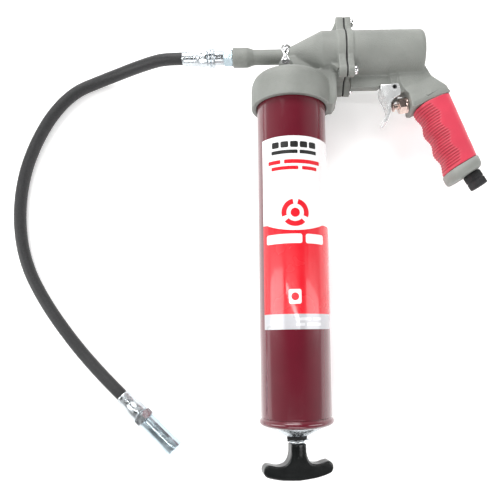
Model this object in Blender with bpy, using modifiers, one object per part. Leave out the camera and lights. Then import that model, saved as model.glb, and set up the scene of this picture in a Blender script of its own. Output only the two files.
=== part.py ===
"""Air-operated pistol-grip grease gun, lying on its side with its delivery hose laid out.

Metres, +Z up. X runs along the pump and air motor towards the pistol grip, Y runs along the
grease barrel towards the pump, and Z is up from the surface that the gun lies on.
Everything hangs from the empty gun_frame, where the barrel's axis crosses the pump's axis.
Below, x, y and z are measured from that point.
"""

import math

import bmesh
import bpy
from mathutils import Matrix, Vector

GAP = 0.0003  # clearance between touching pieces

# Place of the crossing of barrel axis and pump axis
BARREL_X = -0.0524
PUMP_Y = 0.1572
AXIS_Z = 0.0330

# Barrel and what is in it
BARREL_R = 0.0284
BARREL_WALL = 0.0012
BARREL_TOP = -0.0275
BARREL_END = -0.3055
BEAD_R = 0.0296
CONE_TOP_R = 0.0235
CONE_END_R = 0.0092
CONE_END = -0.3138
ROD_R = 0.0040
FOLLOWER_R = 0.0266
FOLLOWER_TOP = -0.0420
FOLLOWER_SPRING_COILS = 9
LATCH_HINGE = (-0.0065, -0.3172, 0)
COLLAR_TOP = -0.3182
HANDLE_TURN = math.radians(14)  # about the rod, with its left arm raised

# Pump head casting
CUP_R = 0.0330
CUP_TOP = -0.0195
CUP_BOTTOM = -0.0466
CUP_FLOOR = -0.0260
NECK_R = 0.00615
BOSS_R = 0.0080
NECK_END = -0.0483
SHELL_R = 0.0197
FRONT_FLANGE = (0.0388, 0.0450)
REAR_FLANGE = (0.0462, 0.0514)
FLANGE_R = 0.0206
LUG_CIRCLE_R = 0.0288
LUG_R = 0.0050
LUG_ANGLES = {"top": 90, "near": -50, "far": -130}  # from +Z towards +Y
LOADER_AT = (-0.0040, 0.0205)  # x and z of the filling fitting

# Air motor
MOTOR_BORE_R = 0.0165
MOTOR_REAR = 0.1110
MOTOR_BORE_END = 0.1054
PISTON_REST = 0.0945  # its front face
PISTON_THICK = 0.0080
PUMP_BORE_R = 0.0032
PLUNGER_R = 0.0029
PLUNGER_TIP = 0.0040
SEAT_R = 0.0018
BALL_R = 0.0025

# Pistol grip: its front top corner, and the slope of its axis from -Y towards +X
GRIP_CORNER = Vector((0.1030, -0.0501))
GRIP_SLOPE = math.radians(23.5)
GRIP_ACROSS = Vector((math.cos(GRIP_SLOPE), math.sin(GRIP_SLOPE)))
GRIP_DOWN = Vector((math.sin(GRIP_SLOPE), -math.cos(GRIP_SLOPE)))
GRIP_DEPTH = 0.0312
GRIP_TAPER = 0.0026  # how much shallower the grip is at its lower end
GRIP_HALF_WIDTH = 0.0145
GRIP_LENGTH = 0.0594
GRIP_END_SLOPE = 0.117  # the lower end rises towards the back
GROOVE_STEP = 0.0184  # between the finger grooves down the grip's front
FIRST_GROOVE = 0.0123
GROOVE_DEPTH = 0.0011
CAP_THICK = 0.0096
CORE_FRONT = 0.0060
CORE_BACK = 0.0255
CORE_HALF_WIDTH = 0.0085
HANDLE_HALF_WIDTH = 0.0125
WAIST_HALF_WIDTH = 0.0065  # of the handle where it meets the cylinder
INLET_R = 0.00745
INLET_LENGTH = 0.0132

# Trigger and air valve
PIVOT = Vector((0.0858, -0.0312))
PIN_R = 0.0016
TRIGGER_HALF_WIDTH = 0.0076
TRIGGER_SLOT = 0.0055
TONGUE_HALF_WIDTH = 0.0050
VALVE_SLOPE = math.radians(8)
VALVE_FACE = Vector((0.0976, -0.0440))
NUT_R = 0.0063
STEM_R = 0.0038
STEM_TIP = 0.0134  # from the face of the casting

# Hose and what is on it
HOSE_R = 0.0051
SLEEVE_BORE_R = 0.0055
HOSE_SIDES = 2  # bevel resolution
HOSE_STEP = 0.0135
FITTING_END = -0.0560
COUPLER_R = 0.0070
COUPLER_HEX = 0.0155
COUPLER_START = Vector((-0.1310, -0.2987, -0.0242))
COUPLER_AXIS = Vector((1, -1, 0)).normalized()
FERRULE_LENGTH = 0.0220
FLUTES = 6
FLUTE_FLOOR_R = 0.0061
HOSE_ROUTE = (
    (-0.0725, 0.0000, 0.0000),
    (-0.0830, 0.0000, 0.0000),
    (-0.0935, 0.0002, -0.0003),
    (-0.1110, 0.0012, -0.0040),
    (-0.1325, 0.0005, -0.0135),
    (-0.1545, -0.0022, -0.0225),
    (-0.1735, -0.0068, -0.0270),
    (-0.1890, -0.0132, -0.0278),
    (-0.2020, -0.0235, -0.0278),
    (-0.2135, -0.0375, -0.0278),
    (-0.2225, -0.0530, -0.0278),
    (-0.2295, -0.0690, -0.0278),
    (-0.2350, -0.0865, -0.0278),
    (-0.2382, -0.1050, -0.0278),
    (-0.2392, -0.1230, -0.0278),
    (-0.2382, -0.1400, -0.0278),
    (-0.2350, -0.1580, -0.0278),
    (-0.2290, -0.1760, -0.0278),
    (-0.2205, -0.1930, -0.0278),
    (-0.2090, -0.2115, -0.0278),
    (-0.1960, -0.2295, -0.0278),
    (-0.1815, -0.2475, -0.0277),
    (-0.1645, -0.2656, -0.0260),
    (-0.1504, -0.2793, -0.0243),
    (-0.1430, -0.2867, -0.0242),
    (-0.1345, -0.2952, -0.0242),
)

AROUND_X = (0.0, math.pi / 2, 0.0)
AROUND_Y = (-math.pi / 2, 0.0, 0.0)
FACING_X = (math.pi / 2, 0.0, math.pi / 2)


def clear_scene():
    for item in list(bpy.data.objects):
        bpy.data.objects.remove(item, do_unlink=True)


def new_collection(name):
    made = bpy.data.collections.new(name)
    bpy.context.scene.collection.children.link(made)
    return made


def material(name, colour, roughness, metallic=0.0):
    made = bpy.data.materials.new(name)
    made.use_nodes = True
    shader = made.node_tree.nodes["Principled BSDF"]
    shader.inputs["Base Color"].default_value = (*colour, 1.0)
    shader.inputs["Roughness"].default_value = roughness
    shader.inputs["Metallic"].default_value = metallic
    return made


clear_scene()
PARTS = new_collection("grease_gun")
HELPERS = new_collection("cutters")
GUN_FRAME = bpy.data.objects.new("gun_frame", None)
PARTS.objects.link(GUN_FRAME)
GUN_FRAME.location = (BARREL_X, PUMP_Y, AXIS_Z)

CAST_GREY = material("cast_grey", (0.27, 0.29, 0.27), 0.6, 0.3)
MAROON = material("maroon_paint", (0.12, 0.008, 0.018), 0.2)
CHROME = material("chrome", (0.8, 0.8, 0.82), 0.12, 1.0)
ZINC = material("zinc_plate", (0.62, 0.66, 0.7), 0.3, 1.0)
BRASS = material("nickel_brass", (0.65, 0.52, 0.42), 0.25, 1.0)
STEEL = material("steel", (0.5, 0.5, 0.5), 0.35, 1.0)
RUBBER = material("black_rubber", (0.02, 0.02, 0.02), 0.75)
RED_RUBBER = material("red_rubber", (0.72, 0.05, 0.09), 0.55)
BLACK_PLASTIC = material("black_plastic", (0.015, 0.016, 0.016), 0.35)
BLACK_STEEL = material("black_steel", (0.02, 0.02, 0.02), 0.5, 0.6)


# ---------------------------------------------------------------- making shapes


def add(name, mesh, look, at=(0, 0, 0), turn=(0, 0, 0), parent=None):
    """A sub-part, or a helper where look is None."""
    made = bpy.data.objects.new(name, mesh)
    (PARTS if look else HELPERS).objects.link(made)
    made.parent = parent or GUN_FRAME
    made.location = at
    made.rotation_euler = turn
    if look:
        mesh.materials.append(look)
    else:
        made.hide_render = True
        made.display_type = "WIRE"
    return made


def turned(name, look, profile, at=(0, 0, 0), turn=AROUND_X, steps=28, parent=None):
    """A turned piece. profile is (radius, along) points; a ring never reaches radius 0."""
    ends_on_axis = profile[0][0] == 0 and profile[-1][0] == 0
    area = sum(
        a[0] * b[1] - b[0] * a[1] for a, b in zip(profile, profile[1:] + profile[:1])
    )
    points = profile[::-1] if area > 0 else profile
    edges = [(i, i + 1) for i in range(len(points) - 1)]
    if not ends_on_axis:
        edges.append((len(points) - 1, 0))
    mesh = bpy.data.meshes.new(name)
    mesh.from_pydata([(r, 0, along) for r, along in points], edges, [])
    made = add(name, mesh, look, at, turn, parent)
    screw = made.modifiers.new("Turn", "SCREW")
    screw.steps = steps
    screw.render_steps = steps
    screw.use_merge_vertices = True
    screw.merge_threshold = 0.00001
    return made


def rod(name, look, radius, start, end, **options):
    """A plain round bar along its axis from start to end."""
    profile = [(0, end), (radius, end), (radius, start), (0, start)]
    return turned(name, look, profile, **options)


def ring(name, look, outer, inner, start, end, **options):
    profile = [(outer, end), (outer, start), (inner, start), (inner, end)]
    return turned(name, look, profile, **options)


def box(name, look, low, high, parent=None):
    mesh = bpy.data.meshes.new(name)
    shape = bmesh.new()
    size = [b - a for a, b in zip(low, high)]
    middle = [(a + b) / 2 for a, b in zip(low, high)]
    bmesh.ops.create_cube(shape, size=1.0, matrix=Matrix.Diagonal((*size, 1)))
    shape.to_mesh(mesh)
    shape.free()
    return add(name, mesh, look, middle, parent=parent)


def as_mesh(curve):
    """A curve's shape as a closed mesh."""
    graph = bpy.context.evaluated_depsgraph_get()
    graph.update()
    mesh = bpy.data.meshes.new_from_object(curve.evaluated_get(graph))
    shape = bmesh.new()
    shape.from_mesh(mesh)
    bmesh.ops.remove_doubles(shape, verts=shape.verts, dist=0.000001)
    bmesh.ops.recalc_face_normals(shape, faces=shape.faces)
    shape.to_mesh(mesh)
    shape.free()
    mesh.materials.clear()
    bpy.data.objects.remove(curve, do_unlink=True)
    return mesh


def outline(name, look, points, half, at=(0, 0, 0), turn=(0, 0, 0), parent=None):
    """A flat outline with half its thickness to each side."""
    data = bpy.data.curves.new(name, "CURVE")
    data.dimensions = "2D"
    data.fill_mode = "BOTH"
    data.extrude = half
    spline = data.splines.new("POLY")
    spline.points.add(len(points) - 1)
    for place, point in zip(spline.points, points):
        place.co = (point[0], point[1], 0, 1)
    spline.use_cyclic_u = True
    curve = bpy.data.objects.new(name, data)
    HELPERS.objects.link(curve)
    return add(name, as_mesh(curve), look, at, turn, parent)


def tube(name, look, points, radius, sides, keep_curve=False):
    """A round wire or hose along points."""
    data = bpy.data.curves.new(name, "CURVE")
    data.dimensions = "3D"
    data.bevel_depth = radius
    data.bevel_resolution = sides
    data.use_fill_caps = True
    spline = data.splines.new("POLY")
    spline.points.add(len(points) - 1)
    for place, point in zip(spline.points, points):
        place.co = (*point, 1)
    made = add(name, data, look) if keep_curve else None
    if made is None:
        curve = bpy.data.objects.new(name, data)
        HELPERS.objects.link(curve)
        made = add(name, as_mesh(curve), look)
    return made


def coil(radius, start, end, turns, along, per_turn=12):
    """Points of a spring about the X or Y axis, with a closed turn at each end."""
    count = int(turns * per_turn)
    points = []
    for i in range(count + 1):
        angle = 2 * math.pi * i / per_turn
        done = i / per_turn
        if done < 1:
            share = 0.02 * done
        elif done > turns - 1:
            share = 1 - 0.02 * (turns - done)
        else:
            share = 0.02 + 0.96 * (done - 1) / (turns - 2)
        place = start + (end - start) * share
        across = (radius * math.cos(angle), radius * math.sin(angle))
        points.append((place, *across) if along == "X" else (across[0], place, across[1]))
    return points


def arc(middle, radius, start, end, steps):
    """Points of an arc, by degrees."""
    angles = [math.radians(start + (end - start) * i / steps) for i in range(steps + 1)]
    return [(middle[0] + radius * math.cos(a), middle[1] + radius * math.sin(a)) for a in angles]


def boolean(target, operation, others):
    for other in others:
        step = target.modifiers.new(operation.title(), "BOOLEAN")
        step.operation = operation
        step.solver = "EXACT"
        step.object = other


def join(target, *others):
    boolean(target, "UNION", others)


def cut(target, *others):
    boolean(target, "DIFFERENCE", others)


def soften(target, width, segments=2, angle=30):
    bevel = target.modifiers.new("Soften", "BEVEL")
    bevel.width = width
    bevel.segments = segments
    bevel.limit_method = "ANGLE"
    bevel.angle_limit = math.radians(angle)


def hexagon(across_flats):
    return arc((0, 0), across_flats / math.sqrt(3), 0, 300, 5)


def empty(name, at, turn=(0, 0, 0)):
    made = bpy.data.objects.new(name, None)
    PARTS.objects.link(made)
    made.parent = GUN_FRAME
    made.location = at
    made.rotation_euler = turn
    return made


def lug_place(which):
    """(y, z) of a flange screw."""
    angle = math.radians(LUG_ANGLES[which])
    return LUG_CIRCLE_R * math.sin(angle), LUG_CIRCLE_R * math.cos(angle)


def lug(which, start, end):
    """One ear of a flange, which flares into the flange's round."""
    inward, side = 0.0120, 0.0098
    points = arc((0, 0), LUG_R, 0, 180, 8) + [(-side, -inward), (side, -inward)]
    y, z = lug_place(which)
    out = Vector((0, y, z)).normalized()
    # The outline's +Y points away from the pump's axis, and its +Z along that axis.
    turn = Matrix(((0, out.x, 1), (out.z, out.y, 0), (-out.y, out.z, 0))).to_euler()
    middle = (start + end) / 2
    made = outline("lug_" + which, None, points, (end - start) / 2, (middle, y, z), turn)
    return made


def flange(start, end, name):
    """A flange's ears with the holes for its screws."""
    ears = [lug(which, start, end) for which in LUG_ANGLES]
    holes = []
    for which in LUG_ANGLES:
        y, z = lug_place(which)
        holes.append(
            rod(name + which, None, 0.0022, start - 0.001, end + 0.001, at=(0, y, z), steps=12)
        )
    return ears, holes


# ---------------------------------------------------------------- barrel


def make_barrel():
    inner = BARREL_R - BARREL_WALL
    bead = [(BEAD_R - 0.0003, -0.3005), (BEAD_R, -0.3020), (BEAD_R - 0.0003, -0.3036)]
    profile = [
        (BARREL_R, BARREL_TOP),
        (BARREL_R, -0.2985),
        (BARREL_R - 0.0004, -0.2993),
        *bead,
        (BARREL_R - 0.0020, BARREL_END),
        (CONE_TOP_R, BARREL_END),
        (CONE_TOP_R, BARREL_END + 0.0015),
        (inner, BARREL_END + 0.0030),
        (inner, BARREL_TOP),
    ]
    turned("barrel", MAROON, profile, turn=AROUND_Y, steps=40)


def make_barrel_end():
    """The pressed end of the barrel, with a hole for the rod, set inside the rolled bead."""
    thick = 0.0012
    lip = CONE_TOP_R - GAP
    profile = [
        (lip, BARREL_END + 0.0012),
        (lip, BARREL_END - 0.0006),
        (CONE_END_R, CONE_END),
        (0.0052, CONE_END),
        (0.0052, CONE_END + thick),
        (CONE_END_R, CONE_END + thick),
        (lip - 0.0018, BARREL_END + 0.0012),
    ]
    turned("barrel_end_cone", ZINC, profile, turn=AROUND_Y, steps=40)


def make_rod_gland():
    """A ribbed rubber bush that wipes the rod where it leaves the barrel."""
    top = CONE_END - GAP
    profile = [(0.0080, top)]
    for i in range(3):
        place = top - 0.0004 - 0.0007 * i
        profile += [(0.0080, place), (0.0075, place - 0.00035)]
    profile += [(0.0078, top - 0.0024), (ROD_R + 0.0004, top - 0.0024), (ROD_R + 0.0004, top)]
    turned("rod_gland", RUBBER, profile, turn=AROUND_Y, steps=26)


def make_latch_plate():
    """The locking plate that grips the rod when it is tilted. It turns on its left edge."""
    hinge = empty("latch_hinge", LATCH_HINGE)
    end = arc((0.0105, 0), 0.0055, -90, 90, 8)
    points = [(-0.0012, -0.0055)] + end + [(-0.0012, 0.0055)]
    turn = (math.pi / 2, 0, 0)
    plate = outline("rod_latch_plate", ZINC, points, 0.0004, (0, 0, 0), turn, hinge)
    hole = rod("latch_hole", None, ROD_R + 0.0006, -0.003, 0.003, turn=AROUND_Y, steps=20)
    hole.parent = hinge
    hole.location = (-LATCH_HINGE[0], 0, 0)
    cut(plate, hole)


def make_rod_and_follower():
    end = COLLAR_TOP - 0.0010
    ring("handle_collar", ZINC, 0.0057, ROD_R + GAP, end, COLLAR_TOP, turn=AROUND_Y, steps=22)
    tip = FOLLOWER_TOP + 0.0040
    rod("follower_rod", STEEL, ROD_R, -0.3340, tip, turn=AROUND_Y, steps=24)
    hole = ROD_R + GAP
    skirt = FOLLOWER_TOP - 0.0160
    rubber = [
        (FOLLOWER_R - 0.0012, FOLLOWER_TOP),
        (FOLLOWER_R - 0.0006, FOLLOWER_TOP - 0.0050),
        (FOLLOWER_R, skirt),
        (FOLLOWER_R - 0.0022, skirt),
        (FOLLOWER_R - 0.0034, FOLLOWER_TOP - 0.0040),
        (hole, FOLLOWER_TOP - 0.0040),
        (hole, FOLLOWER_TOP),
    ]
    turned("follower", RUBBER, rubber, turn=AROUND_Y, steps=30)
    back = FOLLOWER_TOP - 0.0040 - GAP
    ring("follower_back_plate", STEEL, 0.0225, hole, back - 0.0016, back, turn=AROUND_Y)
    front = FOLLOWER_TOP + GAP
    ring("follower_front_plate", STEEL, 0.0100, hole, front, front + 0.0012, turn=AROUND_Y, steps=24)
    nut_at = (0, front + 0.0012 + GAP + 0.0008, 0)
    nut = outline("follower_nut", STEEL, hexagon(0.0120), 0.0008, nut_at, (math.pi / 2, 0, 0))
    bore = rod("follower_nut_bore", None, hole, -0.05, 0, turn=AROUND_Y, steps=20)
    cut(nut, bore)


def make_follower_spring():
    wire = 0.0010
    start = FOLLOWER_TOP - 0.0040 - 0.0016 - 2 * GAP - wire
    end = BARREL_END + 0.0030 + GAP + wire
    points = coil(0.0208, start, end, FOLLOWER_SPRING_COILS, "Y")
    tube("follower_spring", STEEL, points, wire, 1)


def make_t_handle():
    half = [
        (0.0061, -0.3196),
        (0.0063, -0.3271),
        (0.0078, -0.3320),
        (0.0107, -0.3354),
        (0.0165, -0.3362),
        (0.0220, -0.3347),
        (0.0253, -0.3345),
        (0.0277, -0.3366),
        (0.0283, -0.3397),
        (0.0272, -0.3425),
        (0.0243, -0.3444),
        (0.0140, -0.3469),
        (0.0000, -0.3481),
    ]
    points = half + [(-x, y) for x, y in half[-2::-1]]
    turn = (0, HANDLE_TURN, 0)
    handle = outline("t_handle", BLACK_PLASTIC, points, 0.0058, turn=turn)
    soften(handle, 0.0034, 3, 60)
    bore = rod("t_handle_bore", None, ROD_R + GAP, -0.3344, -0.3180, turn=AROUND_Y, steps=24)
    cut(handle, bore)


# ---------------------------------------------------------------- pump head


def make_pump_head():
    cup = turned(
        "pump_head",
        CAST_GREY,
        [
            (0, CUP_TOP),
            (0.0225, CUP_TOP),
            (0.0276, CUP_TOP - 0.0014),
            (0.0310, CUP_TOP - 0.0044),
            (0.0325, CUP_TOP - 0.0078),
            (CUP_R, CUP_TOP - 0.0118),
            (CUP_R, CUP_BOTTOM + 0.0012),
            (CUP_R - 0.0012, CUP_BOTTOM),
            (0, CUP_BOTTOM),
        ],
        turn=AROUND_Y,
        steps=40,
    )
    body = turned(
        "pump_body",
        None,
        [
            (0, FRONT_FLANGE[1]),
            (FLANGE_R, FRONT_FLANGE[1]),
            (FLANGE_R, FRONT_FLANGE[0]),
            (SHELL_R, FRONT_FLANGE[0]),
            (SHELL_R, 0.0262),
            (0.0074, -0.0008),
            (NECK_R, -0.0045),
            (NECK_R, -0.0300),
            (BOSS_R, -0.0358),
            (BOSS_R, NECK_END + 0.0006),
            (BOSS_R - 0.0006, NECK_END),
            (0, NECK_END),
        ],
        steps=40,
    )
    saddle_points = [(-0.0068, -0.0040), (-0.0050, -0.0110), (-0.0010, -0.0215), (0.0340, -0.0215)]
    saddle = outline("saddle", None, saddle_points + [(0.0300, -0.0040)], 0.0090)
    block_points = [
        (0.0200, -0.0165),
        (0.0376, -0.0150),
        (0.0376, -0.0420),
        (0.0344, -0.0466),
        (0.0290, -0.0466),
        (0.0200, -0.0420),
    ]
    block = outline("latch_block", None, block_points, 0.0110)
    ears, holes = flange(*FRONT_FLANGE, "head_hole_")
    join(cup, body, saddle, block, *ears)

    chamber = turned(
        "chamber_cutter",
        None,
        [
            (0, 0.0460),
            (MOTOR_BORE_R, 0.0460),
            (MOTOR_BORE_R, 0.0300),
            (0.0062, 0.0270),
            (0.0062, 0.0210),
            (PUMP_BORE_R, 0.0210),
            (PUMP_BORE_R, -0.0370),
            (SEAT_R, -0.0370),
            (SEAT_R, -0.0390),
            (0.0050, -0.0390),
            (0.0050, NECK_END - 0.001),
            (0, NECK_END - 0.001),
        ],
        steps=26,
    )
    cavity = rod(
        "cup_cutter", None, BARREL_R + GAP, CUP_BOTTOM - 0.003, CUP_FLOOR, turn=AROUND_Y, steps=40
    )
    port = rod("grease_port", None, 0.0024, CUP_FLOOR - 0.001, 0.0, turn=AROUND_Y, steps=16)
    socket_at = (LOADER_AT[0], 0, LOADER_AT[1])
    socket = rod(
        "loader_socket", None, 0.0027, CUP_FLOOR - 0.001, 0, at=socket_at, turn=AROUND_Y, steps=16
    )
    cut(cup, chamber, cavity, port, socket, *holes)


def make_loader_nipple():
    """The fitting through which the barrel is filled from a bulk pump."""
    top = CUP_TOP + GAP
    x, z = LOADER_AT
    nipple = outline(
        "loader_nipple",
        CHROME,
        hexagon(0.0098),
        0.0019,
        (x, top + 0.0019, z),
        (math.pi / 2, 0, 0),
    )
    stem = [
        (0, 0.0172),
        (0.0038, 0.0172),
        (0.0038, 0.0160),
        (0.0026, 0.0154),
        (0.0034, 0.0140),
        (0.0034, 0.0120),
        (0.0021, 0.0100),
        (0.0021, 0.0088),
        (0.0040, 0.0050),
        (0.0040, 0.0010),
        (0.0024, 0.0008),
        (0.0024, -0.0040),
        (0, -0.0040),
    ]
    join(nipple, turned("nipple_stem", None, stem, at=(x, top, z), turn=AROUND_Y, steps=20))


def make_barrel_seal():
    ring(
        "barrel_seal",
        RUBBER,
        BARREL_R - 0.0002,
        BARREL_R - 0.0036,
        BARREL_TOP + GAP,
        CUP_FLOOR - GAP,
        turn=AROUND_Y,
        steps=40,
    )


def make_check_valve():
    centre = -0.0390 - math.sqrt(BALL_R**2 - SEAT_R**2) - GAP
    mesh = bpy.data.meshes.new("check_ball")
    shape = bmesh.new()
    bmesh.ops.create_uvsphere(shape, u_segments=16, v_segments=10, radius=BALL_R)
    shape.to_mesh(mesh)
    shape.free()
    add("check_ball", mesh, STEEL, (centre, 0, 0))
    wire = 0.00025
    start = centre - BALL_R - wire - GAP
    tube("check_spring", STEEL, coil(0.0018, start, -0.0512, 5, "X", 8), wire, 1)


def make_outlet_adapter():
    middle = (FITTING_END + GAP + NECK_END - GAP) / 2
    half = (NECK_END - FITTING_END) / 2 - GAP
    adapter = outline("outlet_adapter", ZINC, hexagon(0.0127), half, (middle, 0, 0), FACING_X)
    shank = rod("adapter_shank", None, 0.0047, NECK_END - 0.002, -0.0445, steps=24)
    bore = turned(
        "adapter_bore",
        None,
        [
            (0, -0.0440),
            (0.0027, -0.0440),
            (0.0027, -0.0517),
            (0.0016, -0.0517),
            (0.0016, -0.0570),
            (0, -0.0570),
        ],
        steps=16,
    )
    join(adapter, shank)
    cut(adapter, bore)


# ---------------------------------------------------------------- air motor


def make_gasket():
    start = FRONT_FLANGE[1] + GAP
    end = REAR_FLANGE[0] - GAP
    gasket = ring("flange_gasket", RUBBER, FLANGE_R - 0.0002, MOTOR_BORE_R, start, end, steps=40)
    ears, holes = flange(start, end, "gasket_hole_")
    join(gasket, *ears)
    bore = rod("gasket_bore", None, MOTOR_BORE_R, start - 0.001, end + 0.001, steps=40)
    cut(gasket, bore, *holes)


def make_flange_screws():
    for which in LUG_ANGLES:
        y, z = lug_place(which)
        head = REAR_FLANGE[1] + GAP
        profile = [
            (0, head + 0.0026),
            (0.0030, head + 0.0024),
            (0.0036, head + 0.0014),
            (0.0036, head),
            (0.0019, head),
            (0.0019, FRONT_FLANGE[0] + 0.0006),
            (0, FRONT_FLANGE[0] + 0.0006),
        ]
        turned("flange_screw_" + which, CHROME, profile, at=(0, y, z), steps=18)


def on_grip(across, down):
    """(x, y) of a point of the grip, from its front top corner."""
    return tuple(GRIP_CORNER + GRIP_ACROSS * across + GRIP_DOWN * down)


def grip_bottom(across, extra=0.0):
    return GRIP_LENGTH + extra - GRIP_END_SLOPE * across


def along_axis(down):
    """Turn that lays a turned piece's axis along the direction down, with z = 0."""
    return Vector((down[0], down[1], 0)).to_track_quat("Z", "X").to_euler()


INLET_DOWN = (GRIP_DOWN + GRIP_ACROSS * GRIP_END_SLOPE).normalized()
INLET_TOP = Vector(on_grip(0.0198, grip_bottom(0.0198, CAP_THICK)))
VALVE_OUT = Vector((-math.cos(VALVE_SLOPE), -math.sin(VALVE_SLOPE)))


# Stands the waist's outline on edge, with its +Y along GRIP_DOWN and its +X along +Z
WAIST_TURN = Matrix(
    ((0, GRIP_DOWN.x, -GRIP_ACROSS.x), (0, GRIP_DOWN.y, -GRIP_ACROSS.y), (1, 0, 0))
).to_euler()


def waist_points():
    """Side view of the handle, which widens from the cylinder to the grip."""
    half = [(WAIST_HALF_WIDTH, -0.060), (WAIST_HALF_WIDTH, -0.0200), (0.0105, -0.0110)]
    half += [(HANDLE_HALF_WIDTH, -0.0045), (HANDLE_HALF_WIDTH, 0.010)]
    return half + [(-x, y) for x, y in half[::-1]]


def make_motor_housing():
    housing = turned(
        "motor_housing",
        CAST_GREY,
        [
            (0, MOTOR_REAR),
            (SHELL_R - 0.0036, MOTOR_REAR),
            (SHELL_R - 0.0011, MOTOR_REAR - 0.0010),
            (SHELL_R, MOTOR_REAR - 0.0036),
            (SHELL_R, REAR_FLANGE[1]),
            (FLANGE_R, REAR_FLANGE[1]),
            (FLANGE_R, REAR_FLANGE[0]),
            (0, REAR_FLANGE[0]),
        ],
        steps=40,
    )
    frame_points = [
        (0.0888, -0.0130),
        (0.0900, -0.0241),
        (0.0926, -0.0312),
        (0.0968, -0.0372),
        (0.0984, -0.0500),
        (0.1020, -0.0505),
        on_grip(0.0002, -GAP),
        on_grip(0.0305, -GAP),
        (0.1288, -0.0364),
        (0.1270, -0.0322),
        (0.1222, -0.0274),
        (0.1165, -0.0208),
        (0.1120, -0.0125),
        (0.1085, -0.0080),
    ]
    frame = outline("handle_frame", None, frame_points, HANDLE_HALF_WIDTH)
    waist = outline("handle_waist", None, waist_points(), 0.030, (*GRIP_CORNER, 0), WAIST_TURN)
    boolean(frame, "INTERSECT", [waist])
    soften(frame, 0.0022, 2, 40)
    tongue_points = arc(PIVOT, 0.0040, 130, 290, 8)
    tongue_points += [(0.0925, -0.0350), (0.0960, -0.0350), (0.0960, -0.0150), (0.0820, -0.0150)]
    tongue = outline("trigger_tongue", None, tongue_points, TONGUE_HALF_WIDTH)
    rib_points = [(0.0500, -0.0100), (0.0500, -0.0298), (0.0735, -0.0298), (0.0735, -0.0100)]
    rib = outline("air_channel", None, rib_points, 0.0036)
    core_points = [
        on_grip(CORE_FRONT, -0.006),
        on_grip(CORE_BACK, -0.006),
        on_grip(CORE_BACK, grip_bottom(CORE_BACK)),
        on_grip(CORE_FRONT, grip_bottom(CORE_FRONT)),
    ]
    core = outline("grip_core", None, core_points, CORE_HALF_WIDTH)
    soften(core, 0.0030, 2, 60)
    ears, holes = flange(*REAR_FLANGE, "housing_hole_")
    join(housing, tongue, rib, frame, core, *ears)

    bore = rod("motor_bore", None, MOTOR_BORE_R, REAR_FLANGE[0] - 0.001, MOTOR_BORE_END, steps=40)
    pin_hole = rod(
        "pin_hole", None, PIN_R + GAP, -0.010, 0.010, at=(*PIVOT, 0), turn=(0, 0, 0), steps=16
    )
    face = (*VALVE_FACE, 0)
    chamber = rod(
        "valve_chamber",
        None,
        0.0046,
        -0.0185,
        0.006,
        at=face,
        turn=along_axis(VALVE_OUT),
        steps=24,
    )
    top = (*on_grip(0.0158, 0), 0)
    passage = rod(
        "air_passage",
        None,
        0.0036,
        -0.0050,
        GRIP_LENGTH + 0.004,
        at=top,
        turn=along_axis(GRIP_DOWN),
        steps=20,
    )
    foot = (0.1040, -0.0100, 0)
    feed = rod(
        "motor_feed",
        None,
        0.0022,
        -0.004,
        0.036,
        at=foot,
        turn=along_axis((0.08, -1.0)),
        steps=12,
    )
    cut(housing, bore, pin_hole, chamber, passage, feed, *holes)


def make_piston():
    groove = 0.0022
    back = PISTON_REST + PISTON_THICK
    outer = MOTOR_BORE_R - GAP
    middle = PISTON_REST + PISTON_THICK / 2
    profile = [
        (PLUNGER_R + GAP, PISTON_REST),
        (outer, PISTON_REST),
        (outer, middle - groove / 2 - GAP),
        (outer - groove - GAP, middle - groove / 2 - GAP),
        (outer - groove - GAP, middle + groove / 2 + GAP),
        (outer, middle + groove / 2 + GAP),
        (outer, back),
        (PLUNGER_R + GAP, back),
    ]
    turned("air_piston", STEEL, profile, steps=30)
    ring(
        "piston_seal",
        RUBBER,
        outer,
        outer - groove,
        middle - groove / 2,
        middle + groove / 2,
        steps=30,
    )
    rod("pump_plunger", CHROME, PLUNGER_R, PLUNGER_TIP, back, steps=20)
    ring("rod_seal", RUBBER, 0.0059, PLUNGER_R + GAP, 0.0213, 0.0266, steps=24)
    wire = 0.0009
    start = 0.0300 + wire + GAP
    end = PISTON_REST - wire - GAP
    tube("return_spring", STEEL, coil(0.0100, start, end, 7, "X", 10), wire, 1)


# ---------------------------------------------------------------- grip, inlet


def grip_section(across_low, across_high, half_width, power, count):
    """Points (across, z) of a rounded section."""
    middle = (across_low + across_high) / 2
    reach = (across_high - across_low) / 2
    points = []
    for i in range(count):
        angle = 2 * math.pi * i / count
        c, s = math.cos(angle), math.sin(angle)
        a = math.copysign(abs(c) ** (2 / power), c)
        b = math.copysign(abs(s) ** (2 / power), s)
        points.append((middle + reach * a, half_width * b))
    return points


def loft(name, look, rings):
    """A closed solid through rings of equal count."""
    shape = bmesh.new()
    loops = [[shape.verts.new(p) for p in points] for points in rings]
    count = len(loops[0])
    for low, high in zip(loops, loops[1:]):
        for i in range(count):
            j = (i + 1) % count
            shape.faces.new((low[i], low[j], high[j], high[i]))
    shape.faces.new(loops[0])
    shape.faces.new(loops[-1])
    bmesh.ops.recalc_face_normals(shape, faces=shape.faces)
    mesh = bpy.data.meshes.new(name)
    shape.to_mesh(mesh)
    shape.free()
    return add(name, mesh, look)


def finger_front(down):
    """How far the grip's front stands back, for the finger grooves down it."""
    turn = 2 * math.pi * (down - FIRST_GROOVE) / GROOVE_STEP
    return 0.0006 + GROOVE_DEPTH * math.cos(turn)


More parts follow.
